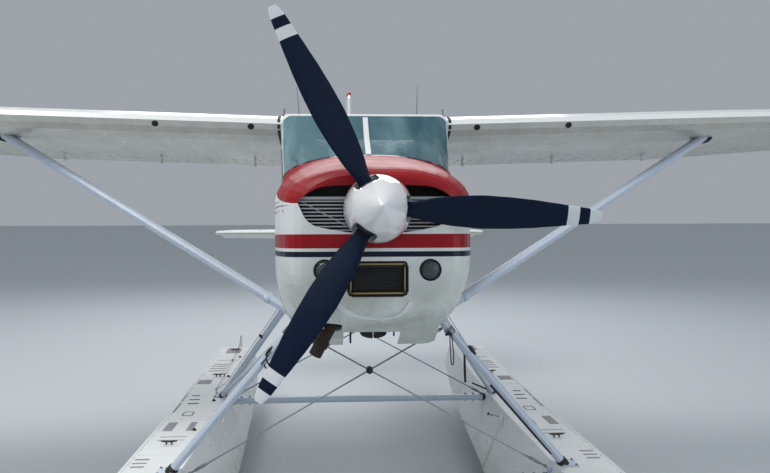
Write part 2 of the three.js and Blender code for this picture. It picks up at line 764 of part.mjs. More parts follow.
const flapInnerX = sideHalf + 14;
const flapParts = wingSurface(flapInnerX, flapEndX, flapHingeShare);
const aileronInnerX = flapEndX + 22;
const aileronParts = wingSurface(aileronInnerX, aileronEndX, aileronHingeShare);
const aileronAft = point(0, 1, 0);
const aileronHinges = [2780, 3900, 5020].map((x) => {
  const { at } = wingHinge(x, aileronHingeShare);
  const axis = aileronParts.inner.clone().sub(aileronParts.outer).normalize();
  const aft = aileronAft.clone().addScaledVector(axis, -aileronAft.dot(axis)).normalize();
  return hingeFitting(at, axis, aft, 90);
});

const flapSpan = flapParts.outer.clone().sub(flapParts.inner);
const flapTilt = Math.atan2(flapSpan.z, flapSpan.x) * (180 / Math.PI);

// Flap arms hang below the wing: one of each pair is fixed and the other moves, side by side on the pivot
const armHalf = 5;
const armWidth = 22;

function flapArms(x) {
  const { at } = wingHinge(x, flapHingeShare);
  const pivot = point(x, at.y, at.z - flapPivotDrop);
  const arm = (fromX, end) => {
    const outline = [[pivot.y - armWidth, pivot.z - 6], [pivot.y, pivot.z - armWidth], [pivot.y + armWidth, pivot.z - 6], ...end];
    const shape = new THREE.Shape(outline.map(([y, z]) => new THREE.Vector2(y, z)));
    return sideBlock(shape, fromX, fromX + 2 * armHalf)
      .translate([-x, 0, -pivot.z])
      .rotate([0, -flapTilt, 0])
      .translate([x, 0, pivot.z]);
  };
  const fixed = arm(x - 2 * armHalf - joinGap, [[pivot.y - 110, pivot.z + 85], [pivot.y - 220, pivot.z + 85]]);
  const moving = arm(x, [[pivot.y + 75, pivot.z + 90], [pivot.y + 5, pivot.z + 90]]);
  return { fixed, moving };
}

const flapHangers = [840, 1580, 2340].map(flapArms);
const flap = joined(flapParts.solid, ...flapHangers.map((pair) => pair.moving));
const aileron = cut(aileronParts.solid, ...aileronHinges.map((fitting) => fitting.slot));
const wing = joined(
  cut(wingSolid, flapParts.room, aileronParts.room, body(lengthened(cabinSections, joinGap, joinGap), -joinGap)),
  ...flapHangers.map((pair) => pair.fixed),
  ...aileronHinges.map((fitting) => fitting.bracket),
);

const liftStrutFoot = point(sideHalf + joinGap, 376, -575);
const liftStrutHead = point(2630, 1050, 655);
const liftStrutChord = 125;
const liftStrutThickness = 62;
sides.forEach(([name, side]) => {
  add(airframe, `wing_${name}`, mirrored(wing, side), 'white');
  add(airframe, `flap_${name}`, mirrored(flap, side), 'white');
  add(airframe, `aileron_${name}`, mirrored(aileron, side), 'white');
  const foot = point(liftStrutFoot.x - 60, liftStrutFoot.y - 16, liftStrutFoot.z - 37);
  const bar = strut(foot, liftStrutHead, liftStrutChord, liftStrutThickness);
  const trimmed = seated(seated(bar, wingSolid, 0, 0, -joinGap), cabinOuter, joinGap, 0, 0);
  add(airframe, `wing_strut_${name}`, mirrored(trimmed, side), 'white');
  const drop = point(0, 0, -flapPivotDrop);
  const flapInner = flapParts.inner.clone().add(drop);
  const flapOuter = flapParts.outer.clone().add(drop);
  const flip = point(side, 1, 1);
  const towards = side > 0 ? [1, 0] : [0, 1];
  const flapLine = [flapInner, flapOuter];
  const aileronLine = [aileronParts.inner.clone(), aileronParts.outer.clone()];
  hinges[`flap_${name}`] = towards.map((i) => flapLine[i].clone().multiply(flip));
  hinges[`aileron_${name}`] = towards.map((i) => aileronLine[i].clone().multiply(flip));
});

// Tail cone, hollow behind its front bulkhead
const coneOuter = body(coneSections, 0);
const coneInner = body(coneSections.slice(0, -1).map((s, i) => (i === 0 ? [s[0] + 12, ...s.slice(1)] : s)), coneSkin);
const coneHatch = box([-150, cabinRear - 20, -250], [150, cabinRear + 60, 150]);

// Tailplane: one surface through the tail cone
// Columns: x, chord with the elevator, leading edge y, thickness share
const tailStations = [
  [0, 1330, 4975, 0.075],
  [1450, 1010, 5180, 0.075],
  [tailplaneHalf, 860, 5270, 0.06],
];

function tailLoft(extra) {
  const rings = tailStations.map(([x, chord, y, thickness]) => aerofoil(chord + 2 * extra, thickness + extra / 500, 0)
    .map(spanwise(x > 0 ? x + extra : -1, y - extra, tailplaneZ, 0)));
  const half = loft(rings);
  return joined(half, half.mirror([1, 0, 0]));
}

// Half the thickness of a tail surface at its hinge, less a little so that its skin ends ahead of the hinge
const lipDrop = 2;

function noseRadius(stations, at, hingeY) {
  const [, chord, leadingY, thickness] = between(stations, at);
  return halfThickness((hingeY - leadingY) / chord, thickness) * chord - lipDrop;
}

const elevatorRootX = 92;
const elevatorRootRearX = 300;

function elevatorTrailing(x) {
  const reach = 600 - (150 * x) / tailplaneHalf;
  const droop = degrees(elevatorDroop);
  return point(x, elevatorHingeY + reach * Math.cos(droop), tailplaneZ - reach * Math.sin(droop));
}

function elevatorHalf() {
  const rings = [elevatorRootX, 1450, tailplaneHalf].map((x) => (
    flapRing(
      point(x, elevatorHingeY, tailplaneZ),
      elevatorTrailing(x),
      noseRadius(tailStations, x, elevatorHingeY),
      spanAxis,
    )));
  const rootCut = new THREE.Shape([
    new THREE.Vector2(elevatorRootX - 60, elevatorHingeY + 60),
    new THREE.Vector2(elevatorRootX + 24, elevatorHingeY + 60),
    new THREE.Vector2(elevatorRootRearX, elevatorHingeY + 640),
    new THREE.Vector2(elevatorRootX - 60, elevatorHingeY + 640),
  ]);
  const geometry = new THREE.ExtrudeGeometry(rootCut, { depth: 400, bevelEnabled: false });
  geometry.translate(0, 0, tailplaneZ - 300);
  return cut(loft(rings), toSolid(geometry));
}

const torqueTube = rod(
  point(-elevatorRootX - 20, elevatorHingeY, tailplaneZ),
  point(elevatorRootX + 20, elevatorHingeY, tailplaneZ),
  22,
  16,
);
const elevatorHinges = [-1350, -520, 520, 1350].map((x) => (
  hingeFitting(point(x, elevatorHingeY, tailplaneZ), point(1, 0, 0), point(0, 1, 0), 80)));
const elevatorWhole = joined(elevatorHalf(), elevatorHalf().mirror([1, 0, 0]), torqueTube);
const elevator = cut(elevatorWhole, ...elevatorHinges.map((fitting) => fitting.slot));
const elevatorRoom = loft([0, 1450, tailplaneHalf + 1].map((x) => coveRing(
  point(x > tailplaneHalf ? x + 60 : x, elevatorHingeY, tailplaneZ),
  point(x, elevatorHingeY + 500, tailplaneZ),
  noseRadius(tailStations, Math.min(x, tailplaneHalf), elevatorHingeY) + coveGap,
  spanAxis,
)));
const tailplane = joined(
  cut(tailLoft(0), elevatorRoom, elevatorRoom.mirror([1, 0, 0])),
  ...elevatorHinges.map((fitting) => fitting.bracket),
);
const elevatorBay = box([-200, elevatorHingeY - 56, tailplaneZ - 50], [200, elevatorHingeY + 46, tailplaneZ + 50]);
const coneWhole = cut(coneOuter, coneInner, coneHatch, tailLoft(joinGap), elevatorBay);
add(airframe, 'tail_cone', coneWhole, 'white');
add(airframe, 'tailplane', tailplane, 'white');
add(airframe, 'elevator', elevator, 'white');
hinges.elevator = [point(0, elevatorHingeY, tailplaneZ), point(-1, elevatorHingeY, tailplaneZ)];

// Fin and rudder
// Columns: z, chord with the rudder, leading edge y, thickness share
const finStations = [
  [-240, 1830, 4640, 0.06],
  [60, 1830, 4640, 0.06],
  [420, 1380, 5080, 0.07],
  [1000, 1020, 5360, 0.085],
  [1520, 750, 5590, 0.095],
  [1620, 660, 5660, 0.09],
  [finTop, 500, 5760, 0.08],
];

function upright(y, z) {
  return ([u, v]) => point(v, y + u, z);
}

const finLoft = loft(finStations.map(([z, chord, y, thickness]) => aerofoil(chord, thickness, 0).map(upright(y, z))));
const dorsal = sideBlock(rounded([[3950, 180, 0], [3950, 292, 0], [4700, 330, 0], [5200, 560, 0], [5300, 180, 0]]), -16, 16);
const rudderBottom = -225;
const rudderAxis = point(0, 0, 1);

// Columns: z, reach behind the hinge
const rudderStations = [
  [rudderBottom, 400],
  [60, 505],
  [500, 505],
  [1520, 385],
  [1620, 345],
  [finTop - 8, 270],
];
const rudderWhole = loft(rudderStations.map(([z, reach]) => flapRing(
  point(0, rudderHingeY, z),
  point(0, rudderHingeY + reach, z),
  noseRadius(finStations, z, rudderHingeY),
  rudderAxis,
)));
const rudderHinges = [250, 860, 1450].map((z) => (
  hingeFitting(point(0, rudderHingeY, z), rudderAxis, point(0, 1, 0), 80)));
const rudder = cut(rudderWhole, ...rudderHinges.map((fitting) => fitting.slot));
const rudderRoom = loft([-240, 60, 420, 1000, 1520, finTop, finTop + 1].map((z) => coveRing(
  point(0, rudderHingeY, z > finTop ? z + 60 : z),
  point(0, rudderHingeY + 500, z > finTop ? z + 60 : z),
  noseRadius(finStations, Math.min(z, finTop), rudderHingeY) + coveGap,
  rudderAxis,
)));
const finWhole = cut(joined(finLoft, dorsal), body(lengthened(coneSections, joinGap, joinGap), -joinGap));
const finTrimmed = cut(finWhole, rudderRoom, box([-300, 4000, -400], [300, 6500, 40]));
add(airframe, 'fin', joined(finTrimmed, ...rudderHinges.map((fitting) => fitting.bracket)), 'white');
add(airframe, 'rudder', rudder, 'white');
hinges.rudder = [point(0, rudderHingeY, 0), point(0, rudderHingeY, 1)];

// Beacon on top of the fin
const beaconY = 5890;
const beaconProfile = [[24, finTop + joinGap], [27, finTop + 30], [22, finTop + 56], [6, finTop + 68]];
const beacon = loft(beaconProfile.map(([radius, z]) => Array.from({ length: 14 }, (_, k) => {
  const angle = (k / 14) * Math.PI * 2;
  return point(Math.cos(angle) * radius, beaconY + Math.sin(angle) * radius, z);
})));
add(airframe, 'beacon', beacon, 'red');

// Propeller: spinner with its back plate, and three blades joined at the hub
const spinnerTip = -1400;
const spinnerRadius = 166;
const spinnerSteps = 9;
const spinnerProfile = [[0, spinnerRear], [spinnerRadius, spinnerRear], [spinnerRadius, spinnerRear - 60]];
for (let k = 1; k <= spinnerSteps; k += 1) {
  const share = k / spinnerSteps;
  const y = spinnerRear - 60 + (spinnerTip - spinnerRear + 60) * share;
  spinnerProfile.push([spinnerRadius * (1 - share ** 1.9) ** 0.86, y]);
}
spinnerProfile[spinnerProfile.length - 1][0] = 0;
const spinnerOutline = spinnerProfile.map(([radius, y]) => new THREE.Vector2(radius, y)).reverse();
const spinnerSolid = toSolid(new THREE.LatheGeometry(spinnerOutline, 28));

// Columns: radius, chord, thickness, pitch from the plane of rotation
const bladeStations = [
  [40, 80, 74, 40],
  [150, 86, 66, 40],
  [200, 112, 48, 38],
  [270, 146, 36, 35],
  [380, 170, 28, 31],
  [500, 179, 23, 27],
  [620, 167, 20, 24],
  [740, 147, 17, 21],
  [850, 121, 14, 19],
  [940, 98, 12, 17],
  [1020, 80, 10, 15],
  [1070, 60, 8, 15],
  [1090, 38, 5, 15],
];
const bladeAzimuths = [-2.3, 117.7, 237.7];
const bladeSection = [[-0.5, 0], [-0.36, 0.34], [-0.12, 0.5], [0.2, 0.4], [0.5, 0.05], [0.5, -0.05], [0.2, -0.4], [-0.12, -0.5], [-0.36, -0.34]];

// One blade along +X in the plane of rotation, with its leading edge up and forward
const bladeSolid = loft(bladeStations.map(([radius, chord, thickness, pitch]) => {
  const cos = Math.cos(degrees(pitch));
  const sin = Math.sin(degrees(pitch));
  return bladeSection.map(([u, v]) => {
    const across = -u * chord;
    const through = v * thickness;
    return point(radius, hubY - across * sin - through * cos, across * cos - through * sin);
  });
}));
const hub = rod(point(0, hubY - 60, 0), point(0, hubY + 60, 0), 88, 18);
const blades = joined(hub, ...bladeAzimuths.map((azimuth) => bladeSolid.rotate([0, -azimuth, 0])));
const cuffRoom = joined(...bladeAzimuths.map((azimuth) => (
  rod(point(0, hubY, 0), point(400, hubY, 0), 58, 16).rotate([0, -azimuth, 0]))));
const hubRoom = rod(point(0, hubY - 62, 0), point(0, hubY + 60 + joinGap, 0), 92, 18);
add(airframe, 'spinner', cut(spinnerSolid, cuffRoom, hubRoom), 'white');
add(airframe, 'propeller_blades', blades, 'blade');
hinges.propeller = [point(0, hubY, 0), point(0, hubY - 1, 0)];

// Floats: a V-bottomed forebody to the step, and an afterbody that rises behind it
// Columns: y, keel z, chine z, chine half width, deck z, deck half width
const forebody = [
  [-1730, 590, 630, 70, 725, 60],
  [-1640, 410, 530, 170, 752, 115],
  [-1420, 240, 430, 260, 765, 150],
  [-1000, 85, 325, 335, 754, 175],
  [-500, 18, 262, 365, 736, 187],
  [0, 0, 230, 375, 716, 190],
  [stepY, 0, 215, 375, 665, 192],
];
const afterbody = [
  [stepY, stepRise, 232, 375, 665, 192],
  [2000, 115, 262, 365, 652, 191],
  [3000, 200, 320, 345, 643, 189],
  [4000, 300, 388, 300, 640, 185],
  [4780, 385, 440, 240, 640, 180],
];

function floatRing([y, keel, chine, chineHalf, deck, deckHalf]) {
  const middleHalf = deckHalf + (chineHalf - deckHalf) * 0.62;
  const middle = chine + (deck - chine) * 0.42;
  const keelReach = Math.min(keelHalf, chineHalf * 0.5);
  const half = [[keelReach, keel], [chineHalf, chine], [middleHalf, middle], [deckHalf, deck]];
  const whole = [...half, ...half.map(([x, z]) => [-x, z]).reverse()];
  return whole.map(([x, z]) => point(x, y, z));
}

const floatSolid = joined(loft(forebody.map(floatRing)), loft(afterbody.map(floatRing)));

function deckHeight(y) {
  return between([...forebody, ...afterbody.slice(1)], y)[4];
}

// Water rudders are swung up behind the sterns, and steer about an upright pin
const sternY = 4780;
const pinY = sternY + 60;
const rudderBoxTop = 500;
const rudderBoxBottom = 425;

sides.forEach(([name, side]) => {
  const place = [side * floatX, 0, 0];
  const lug = (z) => box([-22, sternY - 60, z], [22, pinY + 18, z + 14]);
  const lugs = [lug(rudderBoxBottom - 14 - joinGap), lug(rudderBoxTop + joinGap)];
  const floatBody = cut(joined(floatSolid, ...lugs), box([-23, pinY - 19, rudderBoxBottom - joinGap], [23, pinY + 60, rudderBoxTop + joinGap]));
  add(undercarriage, `float_${name}`, floatBody.translate(place), 'white');
  const bumper = loft([
    [-1730 - joinGap, 620, 50, 60], [-1765, 628, 44, 48], [-1785, 636, 24, 26],
  ].map(([y, z, across, up]) => Array.from({ length: 12 }, (_, k) => {
    const angle = ((k + 0.5) / 12) * Math.PI * 2;
    return point(Math.cos(angle) * across, y, z + 18 + Math.sin(angle) * up);
  })));
  add(undercarriage, `bow_bumper_${name}`, bumper.translate(place), 'dark');
  const blade = sideBlock(rounded([
    [pinY + 10, 430, 10], [pinY + 130, 430, 20], [pinY + 470, 570, 60], [pinY + 400, 730, 50], [pinY + 10, 478, 10],
  ]), -7, 7);
  const post = rod(point(0, pinY, rudderBoxBottom), point(0, pinY, rudderBoxTop), 13, 12);
  const arm = box([-90, pinY - 8, rudderBoxTop - 30], [90, pinY + 8, rudderBoxTop - 18]);
  add(undercarriage, `water_rudder_${name}`, joined(blade, post, arm).translate(place), 'alloy');
  hinges[`water_rudder_${name}`] = [point(side * floatX, pinY, 0), point(side * floatX, pinY, 1)];
});

// Float struts, spreader bars and brace wires
const floorBelly = onFloor(cabinOuter);
const strutFootX = 1235;
const strutTopX = 432;
const rearFootX = 1205;
const frontTop = toFloor(point(strutTopX, 60, -640));
const rearTop = toFloor(point(490, 1560, -540));

const strutSolids = [];
sides.forEach(([name, side]) => {
  const frontFoot = point(strutFootX, frontBarY, deckHeight(frontBarY) - 30);
  const rearFoot = point(rearFootX, rearBarY, deckHeight(rearBarY) - 30);
  const bars = joined(
    strut(frontFoot, frontTop, 95, 52),
    strut(rearFoot, rearTop, 95, 52),
    strut(rearFoot.clone().lerp(rearTop, 0.08), frontFoot.clone().lerp(frontTop, 0.93), 60, 34),
  );
  const floatSeat = floatSolid.translate([floatX, 0, 0]);
  const [frontPad, rearPad] = [[frontFoot, frontBarY], [rearFoot, rearBarY]].map(([foot, y]) => (
    box([foot.x - 52, y - 70, deckHeight(y) - 20], [foot.x + 52, y + 70, deckHeight(y) + 10])));
  const whole = mirrored(joined(bars, frontPad, rearPad), side);
  const onDeck = seated(whole, mirrored(floatSeat, side), 0, 0, joinGap);
  strutSolids.push(seated(onDeck, floorBelly, 0, 0, -joinGap));
  add(undercarriage, `float_struts_${name}`, strutSolids.at(-1), 'white');
});

// The bars lie below the deck's edge, and a lug on each end takes the wire's foot
const barRadius = 27;
const wireFootX = 1115;
const wireFootDrop = 24;
const bothFloats = joined(floatSolid.translate([floatX, 0, 0]), floatSolid.translate([-floatX, 0, 0]));
for (const [name, y, drop] of [['front', frontBarY, 84], ['rear', rearBarY, 44]]) {
  const z = deckHeight(y) - drop;
  const lug = box([wireFootX - 10, y - 12, z], [wireFootX + 14, y + 12, deckHeight(y) - wireFootDrop + 8]);
  const bar = joined(strut(point(-floatX, y, z), point(floatX, y, z), 90, 2 * barRadius), lug, lug.mirror([1, 0, 0]));
  const trimmed = seated(seated(bar, bothFloats, joinGap, 0, 0), bothFloats, -joinGap, 0, 0);
  const pieces = trimmed.decompose().sort((a, b) => b.volume() - a.volume());
  strutSolids.push(pieces[0]);
  add(undercarriage, `spreader_bar_${name}`, pieces[0], 'white');
}

// Each pair of wires crosses in the plane of its struts, from the bar up to the struts' tops
const wireRadius = 5;
const wireTopShare = 0.95;
const knobRadius = 20;
const wirePairs = [
  ['front', point(strutFootX, frontBarY, deckHeight(frontBarY)), frontTop],
  ['rear', point(rearFootX, rearBarY, deckHeight(rearBarY)), rearTop],
];
const wireSeat = joined(...strutSolids);
for (const [name, strutFoot, strutTop] of wirePairs) {
  const foot = point(-wireFootX, strutFoot.y, strutFoot.z - wireFootDrop);
  const top = strutFoot.lerp(strutTop, wireTopShare);
  const crossing = foot.clone().lerp(top, wireFootX / (wireFootX + top.x));
  const wire = rod(foot, top, wireRadius, 6);
  const knob = rod(crossing.clone().add(point(0, -25, 0)), crossing.clone().add(point(0, 25, 0)), knobRadius, 10);
  const whole = joined(wire, wire.mirror([1, 0, 0]), knob);
  const besideStruts = seated(seated(whole, wireSeat, 0, 0, joinGap), wireSeat, joinGap, 0, 0);
  const trimmed = seated(cut(besideStruts, wireSeat.translate([-joinGap, 0, 0])), floorBelly, 0, 0, -joinGap);
  const pieces = trimmed.decompose();
  add(undercarriage, `brace_wires_${name}`, pieces.sort((a, b) => b.volume() - a.volume())[0], 'wire');
}

// The whole machine stands on the floor, with its box centred on the origin
const extent = new THREE.Box3().setFromObject(floatplane, true);
const centreY = (extent.min.y + extent.max.y) / 2;
airframe.position.y -= centreY;
undercarriage.position.y -= centreY;
floatplane.userData.hinges = hinges;
floatplane.userData.centreY = centreY;

export default floatplane;
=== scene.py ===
"""The looks of the floatplane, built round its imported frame. Everything is in metres, in the row frame."""

import math

import bmesh
import bpy
from mathutils import Matrix, Vector
from mathutils.bvhtree import BVHTree


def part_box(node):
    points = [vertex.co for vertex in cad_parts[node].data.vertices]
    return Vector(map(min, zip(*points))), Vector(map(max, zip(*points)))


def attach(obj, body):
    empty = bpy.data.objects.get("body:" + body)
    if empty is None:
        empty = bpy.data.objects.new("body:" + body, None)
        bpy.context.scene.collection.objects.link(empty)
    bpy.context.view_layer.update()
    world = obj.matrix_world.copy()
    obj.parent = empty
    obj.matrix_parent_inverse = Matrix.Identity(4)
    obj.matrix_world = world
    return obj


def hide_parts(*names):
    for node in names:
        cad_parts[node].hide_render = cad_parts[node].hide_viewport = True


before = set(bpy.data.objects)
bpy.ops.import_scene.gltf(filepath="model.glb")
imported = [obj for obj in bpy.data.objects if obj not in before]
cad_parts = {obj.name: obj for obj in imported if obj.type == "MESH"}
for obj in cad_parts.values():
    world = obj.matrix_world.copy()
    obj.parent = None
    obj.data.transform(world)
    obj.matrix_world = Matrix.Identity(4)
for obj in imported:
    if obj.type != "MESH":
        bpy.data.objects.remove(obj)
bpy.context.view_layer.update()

# Frames: the airframe is pitched nose up about the hub, and the floats are level.
# In both, +X is the aeroplane's left and +Y is aft. Heights on the airframe are counted from the hub.
PITCH = math.radians(2.5)
HUB = Vector((0, -1.047, 2.320))
FRONT_STRUT_Y, REAR_STRUT_Y = 0.020, 2.300
front_bar_low, front_bar_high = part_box("spreader_bar_front")
rear_bar_low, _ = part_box("spreader_bar_rear")
CENTRE_Y = FRONT_STRUT_Y - (front_bar_low.y + front_bar_high.y) / 2
FLOOR = Matrix.Translation((0, -CENTRE_Y, 0))
AIR = (
    Matrix.Translation(HUB - Vector((0, CENTRE_Y, 0)))
    @ Matrix.Rotation(-PITCH, 4, "X")
    @ Matrix.Translation((0, -HUB.y, 0))
)
INTO_AIR = AIR.inverted()
SIDES = (("left", 1), ("right", -1))
UP, DOWN = Vector((0, 0, 1)), Vector((0, 0, -1))
AFT, AHEAD = Vector((0, 1, 0)), Vector((0, -1, 0))

# Camera: the photograph's, solved from the aeroplane's own sizes. The first two values are in pixels.
FOCAL_LENGTH, IMAGE_WIDTH, SENSOR_WIDTH = 847.2185, 770, 36
YAW, DIP, ROLL = 0.0621552520, 0.0444695413, 0.00158197528
CAMERA_AT = Vector((-0.2235, -5.1057, HUB.z + 0.0454))
camera = bpy.data.objects.new("camera", bpy.data.cameras.new("camera"))
bpy.context.collection.objects.link(camera)
camera.data.sensor_width = SENSOR_WIDTH
camera.data.lens = FOCAL_LENGTH * SENSOR_WIDTH / IMAGE_WIDTH
camera.data.clip_end = 200
camera.matrix_world = (
    Matrix.Translation(FLOOR @ CAMERA_AT)
    @ Matrix.Rotation(-YAW, 4, "Z")
    @ Matrix.Rotation(math.pi / 2 - DIP, 4, "X")
    @ Matrix.Rotation(-ROLL, 4, "Z")
)
bpy.context.scene.camera = camera

# Light. Columns: name, width and height, power, place, aim, colour
LAMPS = (
    ("key", (8, 8), 1150, (-6, -5, 13), (0, -1, 1.5), (1, 0.98, 0.95)),
    ("fill", (8, 8), 260, (9, -9, 5), (0, 0, 1.5), (0.88, 0.94, 1)),
    ("back", (10, 6), 560, (0, 11, 9), (0, 0, 1.5), (1, 1, 1)),
)
for name, size, power, place, aim, colour in LAMPS:
    data = bpy.data.lights.new(name, "AREA")
    data.shape = "RECTANGLE"
    data.size, data.size_y = size
    data.energy = power
    data.color = colour
    lamp = bpy.data.objects.new(name, data)
    bpy.context.collection.objects.link(lamp)
    lamp.location = place
    lamp.rotation_euler = (Vector(aim) - Vector(place)).to_track_quat("-Z", "Y").to_euler()

world = bpy.data.worlds.new("studio")
bpy.context.scene.world = world
world.use_nodes = True
sky = world.node_tree.nodes["Background"].inputs
sky["Color"].default_value = (0.86, 0.92, 1, 1)
sky["Strength"].default_value = 0.4
bpy.context.scene.view_settings.view_transform = "Standard"


# Materials
class Shader:
    """A procedural material, built from small named steps."""

    def __init__(self, name, colour=(0.8, 0.8, 0.8), **settings):
        self.material = bpy.data.materials.new(name)
        self.material.use_nodes = True
        self.tree = self.material.node_tree
        self.surface = self.tree.nodes["Principled BSDF"]
        self.surface.inputs["Base Color"].default_value = (*colour, 1)
        for key, value in settings.items():
            self.surface.inputs[key.replace("_", " ")].default_value = value
        self.place = self.node("ShaderNodeTexCoord").outputs["Object"]

    def node(self, kind, inputs=None, **values):
        made = self.tree.nodes.new(kind)
        for key, value in values.items():
            setattr(made, key, value)
        for key, value in (inputs or {}).items():
            if isinstance(value, bpy.types.NodeSocket):
                self.tree.links.new(value, made.inputs[key])
            else:
                made.inputs[key].default_value = value
        return made

    def noise(self, scale, detail=3, roughness=0.55, stretch=(1, 1, 1)):
        place = self.node("ShaderNodeMapping", {"Vector": self.place, "Scale": stretch}).outputs[0]
        inputs = {"Vector": place, "Scale": scale, "Detail": detail, "Roughness": roughness}
        return self.node("ShaderNodeTexNoise", inputs).outputs["Fac"]

    def ramp(self, value, low, high, out_low=0.0, out_high=1.0):
        inputs = {"Value": value, "From Min": low, "From Max": high, "To Min": out_low, "To Max": out_high}
        return self.node("ShaderNodeMapRange", inputs).outputs[0]

    def math(self, operation, a, b=0.0):
        return self.node("ShaderNodeMath", {0: a, 1: b}, operation=operation).outputs[0]

    def times(self, a, b):
        return self.math("MULTIPLY", a, b)

    def dot(self, a, b):
        return self.node("ShaderNodeVectorMath", {0: a, 1: b}, operation="DOT_PRODUCT").outputs["Value"]

    def mix(self, share, a, b):
        a, b = (v if isinstance(v, bpy.types.NodeSocket) else (*v, 1) for v in (a, b))
        return self.node("ShaderNodeMix", {0: share, 6: a, 7: b}, data_type="RGBA").outputs[2]

    def band(self, value, low, high, soft=0.001):
        above = self.ramp(value, low - soft, low + soft)
        return self.times(above, self.ramp(value, high - soft, high + soft, 1, 0))

    def axes(self, inverse):
        """x, y and z in the frame that the inverse of a matrix leads to."""
        rows = []
        for row in inverse[:3]:
            rows.append(self.math("ADD", self.dot(self.place, row[:3]), row[3]))
        return rows

    def link(self, socket, value):
        self.tree.links.new(value, self.surface.inputs[socket])

    def coloured(self, colour):
        self.link("Base Color", colour)
        return self.material


def worn(name, colour, dirt, share=0.25, rough=(0.25, 0.45), scale=6, grain=0.06, **settings):
    """A finish with blotches of dirt, uneven gloss and a faint grain."""
    made = Shader(name, colour, **settings)
    blotch = made.noise(scale, 6, 0.65)
    fine = made.noise(scale * 9, 4, 0.6)
    mask = made.times(made.ramp(blotch, 0.45, 0.75), made.ramp(fine, 0.3, 0.8))
    made.colour = made.mix(made.times(mask, share), colour, dirt)
    made.link("Base Color", made.colour)
    made.link("Roughness", made.ramp(blotch, 0.3, 0.7, *rough))
    bump = {"Height": made.noise(260, 2), "Strength": grain, "Distance": 0.002}
    made.link("Normal", made.node("ShaderNodeBump", bump).outputs[0])
    return made


WHITE = (0.80, 0.83, 0.83)
CREAM = (0.62, 0.62, 0.52)
RED = (0.32, 0.006, 0.012)
NAVY = (0.006, 0.010, 0.030)
TAN = (0.30, 0.25, 0.12)
SOOT = (0.008, 0.008, 0.009)

# Painted bands, as heights on the airframe. The red nose's lower edge: y from, y to, z from, z to
RED_BAND = (-0.193, -0.123)
NAVY_BAND = (-0.236, -0.209)
RED_EDGE = (-0.9, 0.0, 0.030, 0.150)
RED_END_Y = 0.42
# Pale bands on the blades, as radii
TIP_BANDS = ((0.920, 0.978), (1.030, 1.200))


def above_red_edge(made, y, z):
    return made.ramp(made.math("SUBTRACT", z, made.ramp(y, *RED_EDGE)), -0.001, 0.001)


def body_paint():
    made = worn("body_paint", WHITE, CREAM, 0.55, (0.22, 0.40), 2.2, 0.03, Specular_IOR_Level=0.28)
    _, y, z = made.axes(INTO_AIR)
    # Darker and olive towards the bottom, in patches: partly dirt, partly painted shade and a painted
    # greenish reflection from below.
    patches = made.ramp(made.noise(5, 5, 0.6, (1, 0.35, 1)), 0.30, 0.62)
    low_shade_and_grime = made.times(made.ramp(z, -0.05, -0.6), patches)
    colour = made.mix(made.times(low_shade_and_grime, 0.75), made.colour, (0.40, 0.43, 0.34))
    ahead = made.ramp(y, RED_END_Y, RED_END_Y + 0.002, 1, 0)
    colour = made.mix(made.times(above_red_edge(made, y, z), ahead), colour, RED)
    colour = made.mix(made.band(z, *RED_BAND), colour, RED)
    return made.coloured(made.mix(made.band(z, *NAVY_BAND), colour, NAVY))


def red_paint():
    made = worn("red_paint", RED, (0.42, 0.05, 0.05), 0.3, (0.34, 0.5), 5, 0.03, Specular_IOR_Level=0.32)
    _, y, z = made.axes(INTO_AIR)
    return made.coloured(made.mix(above_red_edge(made, y, z), WHITE, made.colour))


def wing_paint():
    """White above, with painted shade below: darker and olive, with dull streaks along the chord."""
    coat = {"Coat_Weight": 0.35, "Coat_Roughness": 0.15}
    made = worn("wing_paint", WHITE, CREAM, 0.35, (0.2, 0.4), 2.5, 0.04, **coat)
    normal = made.node("ShaderNodeNewGeometry").outputs["Normal"]
    # Faces that point down are painted darker: painted shade on the underside.
    under = made.ramp(made.dot(normal, DOWN), 0.15, 0.75)
    streak = made.ramp(made.noise(7, 6, 0.7, (1, 0.18, 1)), 0.35, 0.75)
    shade_tone = made.mix(streak, (0.42, 0.40, 0.33), (0.60, 0.59, 0.51))
    return made.coloured(made.mix(made.times(under, 0.85), made.colour, shade_tone))


def blade_paint():
    colour, dirt = (0.0015, 0.009, 0.030), (0.004, 0.014, 0.042)
    made = worn("blade_paint", colour, dirt, 0.6, (0.42, 0.6), 9, 0.05, Specular_IOR_Level=0.16)
    x, _, z = made.axes(INTO_AIR)
    radius = made.math("SQRT", made.math("ADD", made.math("POWER", x, 2.0), made.math("POWER", z, 2.0)))
    inner, outer = (made.band(radius, *band) for band in TIP_BANDS)
    return made.coloured(made.mix(made.math("ADD", inner, outer), made.colour, (0.72, 0.76, 0.78)))


def float_paint():
    """White with a brownish stain low on the hull."""
    made = worn("float_paint", WHITE, (0.45, 0.47, 0.45), 0.4, (0.25, 0.5), 4, 0.05)
    height = made.node("ShaderNodeSeparateXYZ", {0: made.place}).outputs["Z"]
    line = made.math("ADD", height, made.ramp(made.noise(3, 5), 0.3, 0.7, -0.05, 0.05))
    patches = made.ramp(made.noise(14, 6, 0.7), 0.3, 0.7, 0.2, 0.8)
    stain = made.times(made.ramp(line, 0.42, 0.18), patches)
    return made.coloured(made.mix(stain, made.colour, (0.36, 0.36, 0.25)))


